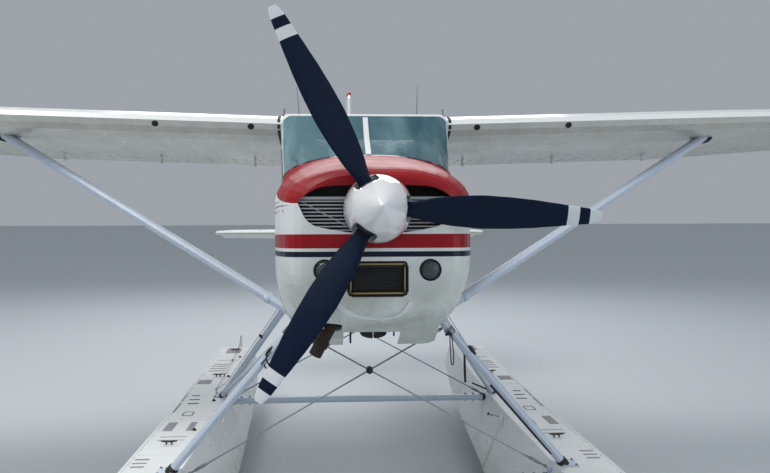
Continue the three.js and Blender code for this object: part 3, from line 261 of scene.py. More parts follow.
def glass():
    """Tinted glass with painted reflections: pale soft streaks, and paler towards the aeroplane's right."""
    made = Shader("tinted_glass", (0.08, 0.30, 0.34), Roughness=0.06, Transmission_Weight=0.68, IOR=1.45)
    # The pale streaks and the paler right side are painted reflections of the sky.
    reflection_streak = made.ramp(made.noise(2.4, 3, 0.5, (2.6, 0.5, 0.35)), 0.42, 0.62)
    soft = made.ramp(made.noise(5, 4, 0.6, (1.5, 0.6, 0.5)), 0.3, 0.7, 0.45, 1.0)
    x, _, _ = made.axes(INTO_AIR)
    sky_reflection = made.ramp(x, 0.45, -0.55, 0.0, 0.75)
    light = made.math("ADD", made.times(made.times(reflection_streak, soft), 0.55), made.times(sky_reflection, 0.75))
    made.link("Roughness", made.ramp(made.noise(30, 4), 0.3, 0.7, 0.05, 0.16))
    shade = made.mix(made.math("MINIMUM", light, 1.0), (0.030, 0.200, 0.280), (0.520, 0.820, 0.880))
    return made.coloured(shade)


def filter_paint():
    """A tan frame round a black pleated filter."""
    made = worn("filter_frame", TAN, (0.12, 0.10, 0.05), 0.6, (0.35, 0.6), 30, 0.1, Metallic=0.5)
    x, _, z = made.axes(INTO_AIR)
    rim = made.times(made.band(x, -0.139, 0.139), made.band(z, -0.420, -0.268))
    pocket = made.times(made.band(x, -0.131, 0.131), made.band(z, -0.412, -0.276))
    return made.coloured(made.mix(pocket, made.mix(rim, SOOT, TAN), SOOT))


def spinner_paint():
    colour, dirt = (0.86, 0.87, 0.88), (0.6, 0.62, 0.55)
    return worn("spinner_paint", colour, dirt, 0.25, (0.06, 0.16), 6, 0.01, Coat_Weight=0.8).material


def beacon_lens():
    colour, dirt = (0.45, 0.01, 0.015), (0.25, 0.01, 0.01)
    return worn("beacon_lens", colour, dirt, 0.3, (0.08, 0.2), 20, 0.02, Coat_Weight=0.5).material


def lamp_lens():
    clear = {"Roughness": 0.02, "Transmission_Weight": 0.96, "IOR": 1.30}
    return Shader("lamp_lens", (0.80, 0.93, 0.94), **clear).material


FINISH = {
    "body": body_paint(), "red": red_paint(), "wing": wing_paint(), "blade": blade_paint(),
    "float": float_paint(), "glass": glass(), "tan": filter_paint(), "spinner": spinner_paint(),
    "beacon": beacon_lens(), "lens": lamp_lens(),
}
# Columns: finish, material, colour, dirt, roughness from and to, blotch scale, metallic, grain, dirt share
PLAIN_FINISHES = (
    ("strut", "strut_paint", (0.55, 0.63, 0.74), (0.42, 0.46, 0.50), (0.25, 0.4), 8, 0.0, 0.04, 0.5),
    ("alloy", "bare_alloy", (0.60, 0.61, 0.62), (0.35, 0.35, 0.34), (0.25, 0.45), 30, 0.9, 0.08, 0.5),
    ("steel", "bare_steel", (0.30, 0.31, 0.33), (0.12, 0.11, 0.10), (0.3, 0.5), 40, 0.9, 0.08, 0.5),
    ("iron", "engine_iron", (0.06, 0.06, 0.065), (0.10, 0.08, 0.06), (0.5, 0.8), 14, 0.4, 0.3, 0.5),
    ("rust", "rust", (0.034, 0.024, 0.021), (0.115, 0.055, 0.032), (0.6, 0.95), 16, 0.3, 0.4, 0.8),
    ("brass", "tan_bars", (0.34, 0.27, 0.12), (0.14, 0.11, 0.06), (0.35, 0.55), 30, 0.6, 0.1, 0.5),
    ("mirror", "reflector", (0.50, 0.58, 0.60), (0.25, 0.30, 0.32), (0.06, 0.14), 20, 1.0, 0.02, 0.2),
    ("white", "trim_white", (0.80, 0.82, 0.82), (0.55, 0.55, 0.5), (0.3, 0.5), 20, 0.0, 0.05, 0.35),
    ("green_light", "lamp_green", (0.01, 0.25, 0.10), (0.01, 0.12, 0.05), (0.08, 0.2), 20, 0.0, 0.02, 0.5),
    ("red_light", "lamp_red", (0.40, 0.01, 0.01), (0.2, 0.01, 0.01), (0.08, 0.2), 20, 0.0, 0.02, 0.5),
    ("black", "black_rubber", (0.012, 0.012, 0.014), (0.05, 0.05, 0.05), (0.5, 0.8), 30, 0.0, 0.2, 0.5),
    ("panel", "panel_plastic", (0.03, 0.032, 0.035), (0.07, 0.07, 0.07), (0.4, 0.7), 30, 0.0, 0.2, 0.5),
    ("fabric", "seat_fabric", (0.06, 0.07, 0.085), (0.12, 0.12, 0.12), (0.8, 0.95), 25, 0.0, 0.6, 0.5),
    ("pad", "deck_pad", (0.36, 0.35, 0.38), (0.22, 0.21, 0.2), (0.8, 0.95), 60, 0.0, 0.7, 0.5),
)
for finish, name, colour, dirt, rough, scale, metallic, grain, share in PLAIN_FINISHES:
    FINISH[finish] = worn(name, colour, dirt, share, rough, scale, grain, Metallic=metallic).material

# The slot that a piece of each finish goes to, where it names no other
SLOT_OF = {
    "body": "white_paint", "wing": "white_paint", "strut": "white_paint", "white": "white_paint",
    "blade": "blade_paint", "spinner": "white_alloy", "float": "white_alloy", "alloy": "bare_alloy",
    "steel": "bare_steel", "iron": "engine_iron", "rust": "rusty_steel", "brass": "filter_frame",
    "black": "black_rubber", "pad": "black_rubber", "panel": "panel_plastic", "fabric": "seat_fabric",
    "mirror": "lamp_glass", "lens": "lamp_glass", "green_light": "lamp_glass", "red_light": "beacon_red",
}


def both(*names):
    """The left and the right node of each name."""
    return [f"{name}_{side}" for name in names for side, _ in SIDES]


NODE_FINISH = {
    "body": ["cowl_bottom", "boot_cowl", "cabin_roof", "cabin_belly", "tail_cone",
             *both("cowl_flap", "cabin_side", "cabin_door")],
    "red": ["cowl_top"],
    "wing": ["tailplane", "elevator", "fin", "rudder", *both("wing", "flap", "aileron")],
    "blade": ["propeller_blades"],
    "spinner": ["spinner"],
    "float": both("float"),
    "strut": ["spreader_bar_front", "spreader_bar_rear", *both("wing_strut", "float_struts")],
    "glass": ["windshield", *both("door_window", "side_window")],
    "alloy": ["nose_grille", "firewall", *both("water_rudder")],
    "steel": ["brace_wires_front", "brace_wires_rear"],
    "iron": ["engine_block"],
    "rust": ["exhaust_pipe"],
    "tan": ["air_filter"],
    "lens": both("landing_light"),
    "beacon": ["beacon"],
    "panel": ["instrument_panel"],
    "fabric": ["rear_seat", *both("front_seat")],
    "black": both("bow_bumper"),
}
# Edges flatter than this many degrees are shaded smooth
SMOOTH_ANGLE = {"strut": 65, "red": 48, "wing": 42, "body": 38, "glass": 40}
OTHER_ANGLE = 28

for finish, names in NODE_FINISH.items():
    for name in names:
        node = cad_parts[name]
        node.data.materials.clear()
        node.data.materials.append(FINISH[finish])
        if node.data.has_custom_normals:
            with bpy.context.temp_override(object=node, active_object=node, selected_editable_objects=[node]):
                bpy.ops.mesh.customdata_custom_splitnormals_clear()
        node.data.shade_smooth()
        node.data.set_sharp_from_angle(angle=math.radians(SMOOTH_ANGLE.get(finish, OTHER_ANGLE)))


# Geometry helpers
def circle(count):
    """The cosine and sine of each of some even turns."""
    turns = [2 * math.pi * k / count for k in range(count)]
    return [(math.cos(turn), math.sin(turn)) for turn in turns]


def around(turn):
    """The direction at some degrees about the propeller's axis, from +X upwards."""
    return Vector((math.cos(math.radians(turn)), 0, math.sin(math.radians(turn))))


def mirrored(side, point):
    """A point given for the left side, on this side."""
    return Vector((side * point[0], point[1], point[2]))


def arc(points, parts):
    """A smooth curve through some points, with each stretch in this many parts."""
    points = [Vector(p) for p in points]
    padded = [points[0] * 2 - points[1], *points, points[-1] * 2 - points[-2]]
    out = []
    for i in range(1, len(padded) - 2):
        p0, p1, p2, p3 = padded[i - 1:i + 3]
        for k in range(parts):
            t = k / parts
            out.append(0.5 * (2 * p1 + (p2 - p0) * t + (2 * p0 - 5 * p1 + 4 * p2 - p3) * t ** 2
                              + (3 * p1 - p0 - 3 * p2 + p3) * t ** 3))
    return [*out, points[-1]]


def headings(points):
    """The direction of travel at each of a row of points."""
    last = len(points) - 1
    return [(points[min(i + 1, last)] - points[max(i - 1, 0)]).normalized() for i in range(len(points))]


class Form:
    """One piece on the airframe, built from lofts, tubes, boxes and domes, and given to one body.

    Each drawing method returns the form, so a piece of one shape can be made and finished in a row."""

    space = AIR

    def __init__(self, name, finish, slot=None, body="airframe", sharp=60):
        self.name, self.finish, self.body, self.sharp = name, finish, body, sharp
        self.slot = slot or SLOT_OF[finish]
        self.mesh = bmesh.new()

    def loft(self, rings):
        """A skin through rings of points, with a flat cap at each end."""
        rows = [[self.mesh.verts.new(p) for p in ring] for ring in rings]
        count = len(rows[0])
        for a, b in zip(rows, rows[1:]):
            for i in range(count):
                j = (i + 1) % count
                self.mesh.faces.new((a[i], a[j], b[j], b[i]))
        self.mesh.faces.new(rows[0][::-1])
        self.mesh.faces.new(rows[-1])
        return self

    def tube(self, path, radius, sides=8, flat=1.0):
        """A tube along points, with one radius or one for each point."""
        points = [Vector(p) for p in path]
        radii = radius if isinstance(radius, (list, tuple)) else [radius] * len(points)
        ways = headings(points)
        side = ways[0].orthogonal().normalized()
        rings = []
        for p, r, ahead in zip(points, radii, ways):
            side = (side - ahead * side.dot(ahead)).normalized()
            up = ahead.cross(side)
            rings.append([p + (side * c + up * s * flat) * r for c, s in circle(sides)])
        return self.loft(rings)

    def lathe(self, start, axis, profile, sides=24):
        """Rings about an axis, each row of the profile as (distance along the axis, radius)."""
        start, axis = Vector(start), Vector(axis).normalized()
        side = axis.orthogonal().normalized()
        up = axis.cross(side)
        return self.loft([[start + axis * d + (side * c + up * s) * r for c, s in circle(sides)]
                          for d, r in profile])

    def sleeve(self, rows, half_wide, half_thick):
        """Oval rings, each row as (centre, how much larger than the half axes)."""
        return self.loft([[at + (half_wide * c + half_thick * s) * grow for c, s in circle(20)]
                          for at, grow in rows])

    def box(self, centre, size, turn=Matrix(), bevel=0.0):
        made = bmesh.ops.create_cube(self.mesh, size=1)["verts"]
        matrix = Matrix.Translation(centre) @ turn @ Matrix.Diagonal((*size, 1))
        bmesh.ops.transform(self.mesh, matrix=matrix, verts=made)
        if bevel:
            edges = list({e for v in made for e in v.link_edges})
            bmesh.ops.bevel(self.mesh, geom=edges, offset=bevel, segments=2, affect="EDGES", profile=0.5)
        return self

    def dome(self, at, normal, radius, height, sides=8):
        profile = [(0, radius), (0.001 + height * 0.6, radius * 0.85), (0.001 + height, radius * 0.3)]
        return self.lathe(Vector(at) - Vector(normal) * 0.001, normal, profile, sides)

    def ribbon(self, points, normals, width, height):
        """A flat strip that lies on a surface, with its edges let in."""
        rings = []
        for p, n, ahead in zip(points, normals, headings(points)):
            half = ahead.cross(n).normalized() * width / 2
            rings.append([p - half - n * 0.004, p - half * 0.9 + n * height,
                          p + half * 0.9 + n * height, p + half - n * 0.004])
        return self.loft(rings)

    def done(self, replaces=()):
        bmesh.ops.recalc_face_normals(self.mesh, faces=self.mesh.faces[:])
        bmesh.ops.transform(self.mesh, matrix=self.space, verts=self.mesh.verts[:])
        data = bpy.data.meshes.new(self.name)
        self.mesh.to_mesh(data)
        self.mesh.free()
        data.materials.append(FINISH[self.finish])
        made = bpy.data.objects.new(self.name, data)
        bpy.context.collection.objects.link(made)
        data.shade_smooth()
        data.set_sharp_from_angle(angle=math.radians(self.sharp))
        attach(made, self.body)
        if replaces:
            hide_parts(*replaces)
        return made


class FloorForm(Form):
    """One piece on the floats, in the level frame that they stand in."""

    space = FLOOR


# Heights and a distance out, past every surface that rays are sent to
FAR_UP, FAR_DOWN, FAR_OUT = 2.0, -1.5, 1.2


def split(hits):
    """The points and the normals of those rays that met something."""
    met = [hit for hit in hits if hit]
    return [p for p, _ in met], [n for _, n in met]


class Skin:
    """The surface of some CAD nodes, met by rays in the airframe's or the floor's metres."""

    def __init__(self, *names, space=AIR):
        self.space, self.back = space, space.inverted()
        points, faces = [], []
        for name in names:
            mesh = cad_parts[name].data
            offset = len(points)
            points += [v.co.copy() for v in mesh.vertices]
            faces += [[offset + i for i in f.vertices] for f in mesh.polygons]
        self.tree = BVHTree.FromPolygons(points, faces)

    def at(self, start, towards):
        """Where a ray meets the surface, as a point and a normal, or None."""
        ray = self.space.to_3x3() @ Vector(towards)
        place, normal, _, _ = self.tree.ray_cast(self.space @ Vector(start), ray.normalized())
        if place is None:
            return None
        if normal.dot(ray) > 0:
            normal = -normal
        return self.back @ place, (self.back.to_3x3() @ normal).normalized()

    def top(self, x, y):
        return self.at((x, y, FAR_UP), DOWN)

    def flank(self, side, y, z):
        return self.at((side * FAR_OUT, y, z), (-side, 0, 0))

    def run(self, starts, towards):
        """Where a row of parallel rays meets the surface, as points and normals."""
        return split(self.at(p, towards) for p in starts)


# Cowl: fasteners along its seam and round its rear edge, the seam, and the curved bead under the nose
COWL = Skin("cowl_top", "cowl_bottom")
SEAM_Z, SCREW_ROWS_Z = 0.0216, (-0.004, 0.046)
REAR_SCREWS, REAR_FIRST, REAR_SWEEP = 34, -215, 250
screws = Form("cowl_fasteners", "steel", sharp=35)
seams = Form("cowl_seams", "black")
for side in (1, -1):
    seam = split(COWL.flank(side, -0.86 + 0.845 * k / 23, SEAM_Z) for k in range(24))
    seams.ribbon(*seam, 0.004, 0.0012)
    for z in SCREW_ROWS_Z:
        for k in range(8):
            screws.dome(*COWL.flank(side, -0.80 + 0.74 * k / 7, z), 0.0075, 0.003)
for k in range(REAR_SCREWS):
    outward = around(REAR_FIRST + k * REAR_SWEEP / (REAR_SCREWS - 1))
    met = COWL.at(outward * 1.5 + Vector((0, -0.022, -0.15)), -outward)
    if met:
        screws.dome(*met, 0.007, 0.003)
screws.done()
seams.done()

# The bead is clean trim white, brighter than the darkened paint round it: a raised bead whose brightness is a
# painted highlight along its ridge.
smile = arc([(-0.215, -2, -0.455), (-0.165, -2, -0.500), (-0.090, -2, -0.533), (0, -2, -0.546),
             (0.075, -2, -0.537), (0.130, -2, -0.505), (0.165, -2, -0.462)], 6)
Form("cowl_bead", "white").ribbon(*COWL.run(smile, AFT), 0.022, 0.009).done()

# Air inlet: the seal round it, the filter's bars with their rivets, and its pleats
INLET_X, INLET_TOP, INLET_BOTTOM, INLET_CORNER = 0.149, -0.257, -0.431, 0.024
corner_x, high_z, low_z = INLET_X - INLET_CORNER, INLET_TOP - INLET_CORNER, INLET_BOTTOM + INLET_CORNER
CORNERS = ((corner_x, high_z, 0), (-corner_x, high_z, 90), (-corner_x, low_z, 180), (corner_x, low_z, 270))
loop = []
for x, z, first in CORNERS:
    loop += [Vector((x, -FAR_OUT, z)) + around(first + 90 * k / 4) * INLET_CORNER for k in range(5)]
points, _ = COWL.run([*loop, loop[0]], AFT)
Form("inlet_seal", "black").tube([p + AHEAD * 0.001 for p in points], 0.004, 6).done()

BAR_INSET = 0.015
bars = Form("filter_bars", "brass", sharp=35)
for z in (INLET_TOP - BAR_INSET, INLET_BOTTOM + BAR_INSET):
    bars.box((0, -0.9235, z), (2 * INLET_X - 0.052, 0.012, 0.009), bevel=0.002)
    for x in (0.06, -0.06):
        bars.dome((x, -0.930, z), AHEAD, 0.005, 0.003)
for x in (INLET_X - BAR_INSET, -INLET_X + BAR_INSET):
    bars.box((x, -0.9225, (INLET_TOP + INLET_BOTTOM) / 2), (0.008, 0.010, 0.108), bevel=0.002)
bars.done()
pleats = Form("filter_pleats", "black", sharp=35)
for k in range(14):
    z = INLET_TOP - 0.030 - k * 0.0088
    pleats.tube([(-INLET_X + 0.024, -0.9075, z), (INLET_X - 0.024, -0.9075, z)], 0.0042, 6)
pleats.done()

# Landing lights. Columns: piece, finish, start behind the light's middle, direction, sides,
# profile as (distance along the axis, radius)
LIGHT_AT = (0.262, -0.905, -0.302)
LIGHT_PIECES = (
    ("ring", "black", 0, AFT, 32, ((-0.018, 0.0550), (-0.022, 0.0515), (-0.018, 0.0475), (0.030, 0.046),
                                   (0.032, 0.0535), (0.0, 0.0555))),
    ("bowl", "mirror", 0, AFT, 32, ((-0.013, 0.0455), (0.010, 0.040), (0.028, 0.026), (0.036, 0.010),
                                    (0.040, 0.010), (0.034, 0.030), (0.012, 0.0435), (-0.013, 0.0465))),
    ("bulb", "white", 0.036, AHEAD, 14, ((0, 0.009), (0.012, 0.012), (0.024, 0.010), (0.030, 0.005))),
    ("lens", "lens", 0, AFT, 32, ((-0.038, 0.004), (-0.036, 0.019), (-0.030, 0.034), (-0.018, 0.0465),
                                  (-0.014, 0.0465), (-0.026, 0.033), (-0.032, 0.017), (-0.034, 0.004))),
)
for name, side in SIDES:
    for label, finish, behind, way, sides, profile in LIGHT_PIECES:
        piece = Form(f"light_{label}_{name}", finish, "lamp_glass")
        piece.lathe(mirrored(side, LIGHT_AT) + AFT * behind, way, profile, sides)
        piece.done([f"landing_light_{name}"] if label == "lens" else ())

# Small things round the mouth and the exhaust pipe
MOUTH_ROD = [(-0.375, -0.865, 0.040), (-0.12, -0.858, -0.098)]
Form("mouth_rod", "alloy", sharp=35).tube(MOUTH_ROD, 0.0035, 6).done()
PIPE_END, PIPE_TOP = Vector((-0.322, -0.412, -0.788)), Vector((-0.222, -0.445, -0.600))
collar = Form("exhaust_collar", "rust", sharp=35)
for share in (0.30, 0.40):
    profile = [(-0.012, 0.0378), (-0.006, 0.0425), (0.006, 0.0425), (0.012, 0.0378)]
    collar.lathe(PIPE_END.lerp(PIPE_TOP, share), PIPE_END - PIPE_TOP, profile, 18)
lug = PIPE_END.lerp(PIPE_TOP, 0.36)
collar.tube([lug + Vector((-0.030, 0.026, 0)), lug + Vector((-0.060, 0.055, 0.006))], 0.006, 6)
collar.done()

# Propeller: a smooth spinner with openings for the blades
SPINNER_REAR, SPINNER_TIP, SPINNER_RADIUS = -0.948, -1.400, 0.166
AZIMUTHS = (-2.3, 117.7, 237.7)


def swept(turn):
    """Turns a form drawn along +X into a blade's place."""
    return Matrix.Translation((0, HUB.y, 0)) @ Matrix.Rotation(math.radians(-turn), 4, "Y")


def spinner_profile(inset, parts=26):
    """(y, radius) from the rear edge to the tip, with the inner wall let in by the inset."""
    rows = [(SPINNER_REAR, SPINNER_RADIUS), (SPINNER_REAR - 0.03, SPINNER_RADIUS)]
    shoulder = SPINNER_REAR - 0.06
    for k in range(parts):
        share = k / parts
        radius = SPINNER_RADIUS * (1 - share ** 1.9) ** 0.86
        rows.append((shoulder - (shoulder - SPINNER_TIP) * share, radius))
    rows.append((SPINNER_TIP + 0.0012, 0.006))
    rows.append((SPINNER_TIP, 0.0015))
    return [(y + (inset if i else 0), max(r - inset, 0.001)) for i, (y, r) in enumerate(rows)]


spinner = Form("spinner_shell", "spinner", body="propeller")
spinner.lathe((0, 0, 0), AFT, [*reversed(spinner_profile(0)), *spinner_profile(0.003)], 96)
shell = spinner.done(replaces=["spinner"])
cutter = Form("spinner_cutter", "black", body="propeller")
for azimuth in AZIMUTHS:
    before = len(cutter.mesh.verts)
    cutter.box((0.155, -0.035, 0.000), (0.21, 0.260, 0.122), bevel=0.040)
    cutter.mesh.verts.ensure_lookup_table()
    bmesh.ops.transform(cutter.mesh, matrix=swept(azimuth), verts=cutter.mesh.verts[before:])
tool = cutter.done()
opened = shell.modifiers.new("openings", "BOOLEAN")
opened.object = tool
opened.solver = "EXACT"
with bpy.context.temp_override(object=shell, active_object=shell, selected_editable_objects=[shell]):
    bpy.ops.object.modifier_apply(modifier="openings")
bpy.data.objects.remove(tool)

PLATE_SCREWS = 18
plate = Form("spinner_plate", "alloy", "white_alloy", body="propeller", sharp=50)
plate.lathe((0, SPINNER_REAR, 0), AHEAD, [(0.004, 0.06), (0.004, 0.161), (0.0, 0.168), (0.005, 0.169),
                                          (0.009, 0.1675), (0.009, 0.161), (0.008, 0.06)], 72)
for k in range(PLATE_SCREWS):
    way = around(360 / PLATE_SCREWS * k + 8)
    plate.dome(way * 0.1665 + Vector((0, SPINNER_REAR - 0.018, 0)), way, 0.005, 0.0022)
plate.done()

# Blades. Columns: radius, chord, thickness, pitch
BLADE = (
    (0.090, 0.086, 0.080, 40), (0.150, 0.086, 0.066, 40), (0.200, 0.112, 0.048, 38),
    (0.270, 0.146, 0.036, 35), (0.380, 0.170, 0.028, 31), (0.500, 0.179, 0.023, 27),
    (0.620, 0.167, 0.020, 24), (0.740, 0.147, 0.017, 21), (0.850, 0.121, 0.014, 19),
    (0.940, 0.098, 0.012, 17), (1.020, 0.080, 0.010, 15), (1.070, 0.060, 0.008, 15),
    (1.090, 0.038, 0.005, 15),
)
BLADE_ROOT, BLADE_TIP, BLADE_RINGS = 0.09, 1.0895, 40


def blade_at(radius):
    """The chord, thickness and pitch at a radius."""
    low, high = next((a, b) for a, b in zip(BLADE, BLADE[1:]) if radius <= b[0])
    share = (radius - low[0]) / (high[0] - low[0])
    soft = share * share * (3 - 2 * share) * 0.35 + share * 0.65
    return [a + (b - a) * soft for a, b in zip(low[1:], high[1:])]


def blade_section():
    """Points round a blade of chord 1 and thickness 1, fuller on one face and near the leading edge."""
    section = []
    for c, s in circle(28):
        u = 0.5 * c
        fat = 0.5 * s * (1.08 - 0.55 * (u + 0.5) ** 1.4)
        section.append((u, fat if fat > 0 else fat * 0.7))
    return section


blades = Form("blades_smooth", "blade", body="propeller")
for azimuth in AZIMUTHS:
    turned = swept(azimuth)
    rings = []
    for k in range(BLADE_RINGS + 1):
        radius = BLADE_ROOT + (BLADE_TIP - BLADE_ROOT) * (1 - (1 - k / BLADE_RINGS) ** 1.25)
        chord, thick, pitch = blade_at(radius)
        cos, sin = math.cos(math.radians(pitch)), math.sin(math.radians(pitch))
        ring = []
        for u, v in blade_section():
            across, through = -u * chord, v * thick
            y, z = -across * sin - through * cos, across * cos - through * sin
            ring.append(turned @ Vector((radius, y, z)))
        rings.append(ring)
    blades.loft(rings)
blades.lathe((0, HUB.y - 0.058, 0), AFT, [(0, 0.06), (0.004, 0.084), (0.112, 0.084), (0.116, 0.06)], 32)
blades.done(replaces=["propeller_blades"])
# A near-black core fills the spinner behind its openings: it stands for the hub, and its dark colour is
# painted shade in the hollow.
CORE = [(-1.300, 0.020), (-1.270, 0.055), (-1.220, 0.088), (-1.150, 0.108), (-1.060, 0.116), (-0.956, 0.116),
        (-0.955, 0.02)]
Form("spinner_shade_core", "panel", "engine_iron", body="propeller").lathe((0, 0, 0), AFT, CORE, 48).done()
ferrules = Form("blade_ferrules", "iron", body="propeller", sharp=50)
for azimuth in AZIMUTHS:
    along = swept(azimuth).to_3x3() @ Vector((1, 0, 0))
    profile = [(0, 0.050), (0.003, 0.054), (0.028, 0.054), (0.031, 0.047), (0.052, 0.046), (0.055, 0.040)]
    ferrules.lathe(Vector((0, HUB.y, 0)) + along * 0.078, along, profile, 28)
ferrules.done()

# Windshield: the strip down its middle and its header
GLASS = Skin("windshield")
FRONT = Skin("windshield", "boot_cowl", "cabin_roof", "cabin_side_left", "cabin_side_right")
INTO = Vector((0, 0.7, -0.7))
STRIP_LINE = ((0.062, 0.365), (0.16, 0.43), (0.27, 0.49), (0.38, 0.55), (0.49, 0.61), (0.588, 0.655))
strip = Form("windshield_strip", "white", sharp=50)
strip.ribbon(*GLASS.run([Vector((0, y, z)) - INTO for y, z in STRIP_LINE], INTO), 0.036, 0.004)
for k in range(5):
    strip.dome(*GLASS.at((0, -0.62 + 0.115 * k, 1.078 + 0.065 * k), INTO), 0.008, 0.0035)
strip.done()
top_line = split(FRONT.top(x, 0.601) for x in (-0.535, -0.4, -0.2, 0, 0.2, 0.4, 0.535))
Form("windshield_header", "white", sharp=50).ribbon(*top_line, 0.008, 0.002).done()

# Dark seals round the wing roots
ROOT_X, ROOT_CHORD = 0.580, (0.63, 0.66, 0.72, 0.82, 0.98, 1.20, 1.45, 1.70)
seals = Form("wing_root_seals", "black")
for name, side in SIDES:
    skin = Skin(f"wing_{name}")
    x = side * ROOT_X
    upper = [skin.top(x, y) for y in ROOT_CHORD[::-1]]
    lower = [skin.at((x, y, FAR_DOWN), UP) for y in ROOT_CHORD]
    seals.ribbon(*split([*upper, skin.at((x, 0.2, 0.615), AFT), *lower]), 0.020, 0.004)
seals.done()

# Roof: two whip aerials and the lifting eyes. Columns: x, y, height, lean
WHIPS = ((-0.455, 0.98, 0.215, -0.02), (0.385, 0.98, 0.225, 0.01))
aerials = Form("antennas", "steel", sharp=35)
ROOF = Skin("cabin_roof")
for x, y, tall, lean in WHIPS:
    at, normal = ROOF.top(x, y)
    aerials.lathe(at, normal, [(-0.004, 0.024), (0.004, 0.022), (0.008, 0.010), (0.022, 0.006)], 14)
    whip = [at, at + Vector((lean * 0.4, 0.004, tall * 0.5)), at + Vector((lean, 0.012, tall))]
    aerials.tube(whip, [0.004, 0.003, 0.0018], 6)
for side in (1, -1):
    eye = [(-0.01, 0.012), (0.012, 0.012), (0.016, 0.006), (0.048, 0.006), (0.052, 0.009), (0.058, 0.006)]
    aerials.lathe((side * 0.552, 0.80, 0.700), UP, eye, 10)
aerials.done()

# Wings: vents in the leading edge, tie-down posts, strut cuffs, tip lights and fuel caps
VENTS = ((0.766, 0.606), (1.401, 0.624))
WING_STRUT_HEAD, WING_STRUT_FOOT = (2.60, 1.045, 0.62), (0.553, 0.376, -0.575)
# Profile, as (distance along the axis, radius)
FUEL_CAP = ((-0.003, 0.048), (0.004, 0.046), (0.006, 0.036), (0.012, 0.034), (0.013, 0.004))
# Columns: distance along the strut, how much larger than the strut
CUFF = ((0.0, 1.02), (0.012, 1.10), (0.03, 1.10), (0.042, 1.02))
for name, side in SIDES:
    skin = Skin(f"wing_{name}")
    vents = Form(f"wing_vents_{name}", "black")
    for x, z in VENTS:
        at, normal = skin.at((side * x, 0.2, z), AFT)
        profile = [(0, 0.023), (0.009, 0.022), (0.010, 0.017), (0.0075, 0.015), (0.0080, 0.001)]
        vents.lathe(at - normal * 0.006, normal, profile, 18)
    vents.done()
    posts = Form(f"wing_posts_{name}", "alloy", sharp=35)
    at, _ = skin.at((side * 2.41, 0.98, FAR_DOWN), UP)
    foot = at + Vector((0, -0.01, -0.055))
    posts.tube([at, foot], [0.010, 0.008])
    posts.tube([foot + Vector((-0.036, 0, 0)), foot + Vector((0.036, 0, 0))], 0.008)
    posts.done()
    head, foot = mirrored(side, WING_STRUT_HEAD), mirrored(side, WING_STRUT_FOOT)
    along = (foot - head).normalized()
    across = along.cross(UP).normalized()
    through = across.cross(along).normalized()
    for label, start, way, finish in (("head", head + along * 0.06, along, "black"),
                                      ("foot", foot - along * 0.07, -along, "strut")):
        rows = [(start + way * d, grow) for d, grow in CUFF]
        Form(f"strut_{label}_{name}", finish, sharp=50).sleeve(rows, across * 0.0625, through * 0.031).done()
    at, _ = skin.at((side * 5.36, 0.2, 0.765), AFT)
    tip = Form(f"tip_light_{name}", "red_light" if side > 0 else "green_light")
    tip.lathe(at + AFT * 0.02, AHEAD, [(-0.03, 0.022), (0.02, 0.026), (0.045, 0.020), (0.058, 0.006)], 14)
    tip.done()
    cap = Form(f"fuel_cap_{name}", "steel", sharp=40)
    at, normal = skin.top(side * 1.05, 1.02)
    cap.lathe(at, normal, FUEL_CAP, 24)
    cap.box(at + normal * 0.014, (0.05, 0.009, 0.006), bevel=0.002)
    cap.done()

# Stiffening beads along the chord of the movable surfaces. Columns: body, spacing, share of the chord
BEADED = (*[(name, 0.098, 0.84) for name in both("flap", "aileron")], ("elevator", 0.085, 0.8))
BEAD_MARGIN, CHORD_RAYS = 0.05, 40
for name, spacing, chord_share in BEADED:
    skin = Skin(name)
    corners = [INTO_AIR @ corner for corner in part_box(name)]
    x0, x1 = sorted(c.x for c in corners)
    y0, y1 = sorted(c.y for c in corners)
    beads = Form(f"beads_{name}", "wing", "white_alloy", body=name)
    span = x1 - x0 - 2 * BEAD_MARGIN
    count = int(span / spacing)
    for k in range(count + 1):
        x = x0 + BEAD_MARGIN + k * span / count
        for start_z, way in ((FAR_UP, DOWN), (FAR_DOWN, UP)):
            starts = [(x, y0 + (y1 - y0) * j / CHORD_RAYS, start_z) for j in range(CHORD_RAYS + 1)]
            chord, _ = skin.run(starts, way)
            if len(chord) < 8:
                continue
            fore, aft = chord[0].y + 0.06, chord[-1].y - 0.03
            line = [(x, aft - (aft - fore) * chord_share * j / 4, start_z) for j in range(5)]
            points, normals = skin.run(line, way)
            if len(points) == len(line):
                beads.ribbon(points, normals, 0.014, 0.0035)
    beads.done()

# Below the nose: two quarter-round outlets side by side, and drain pipes. Columns: inner edge x, reach
OUTLETS = ((0.010, -0.074), (0.018, 0.074))
outlet = Form("cowl_outlets", "black", sharp=50)
for inner_x, reach in OUTLETS:
    rings = []
    for y in (-0.150, -0.055):
        ring = [Vector((inner_x, y, -0.690))]
        for k in range(9):
            turn = math.pi / 2 * k / 8
            ring.append(Vector((inner_x + reach * math.cos(turn), y, -0.700 - 0.032 * math.sin(turn))))
        rings.append(ring)
    outlet.loft(rings)
outlet.done()
drain = Form("drain_pipe", "black", sharp=50)
drain.tube([(-0.118, -0.11, -0.68), (-0.120, -0.10, -0.735), (-0.119, -0.085, -0.765)], 0.006)
drain.tube([(0.135, -0.14, -0.68), (0.136, -0.12, -0.722)], 0.005)
drain.done()


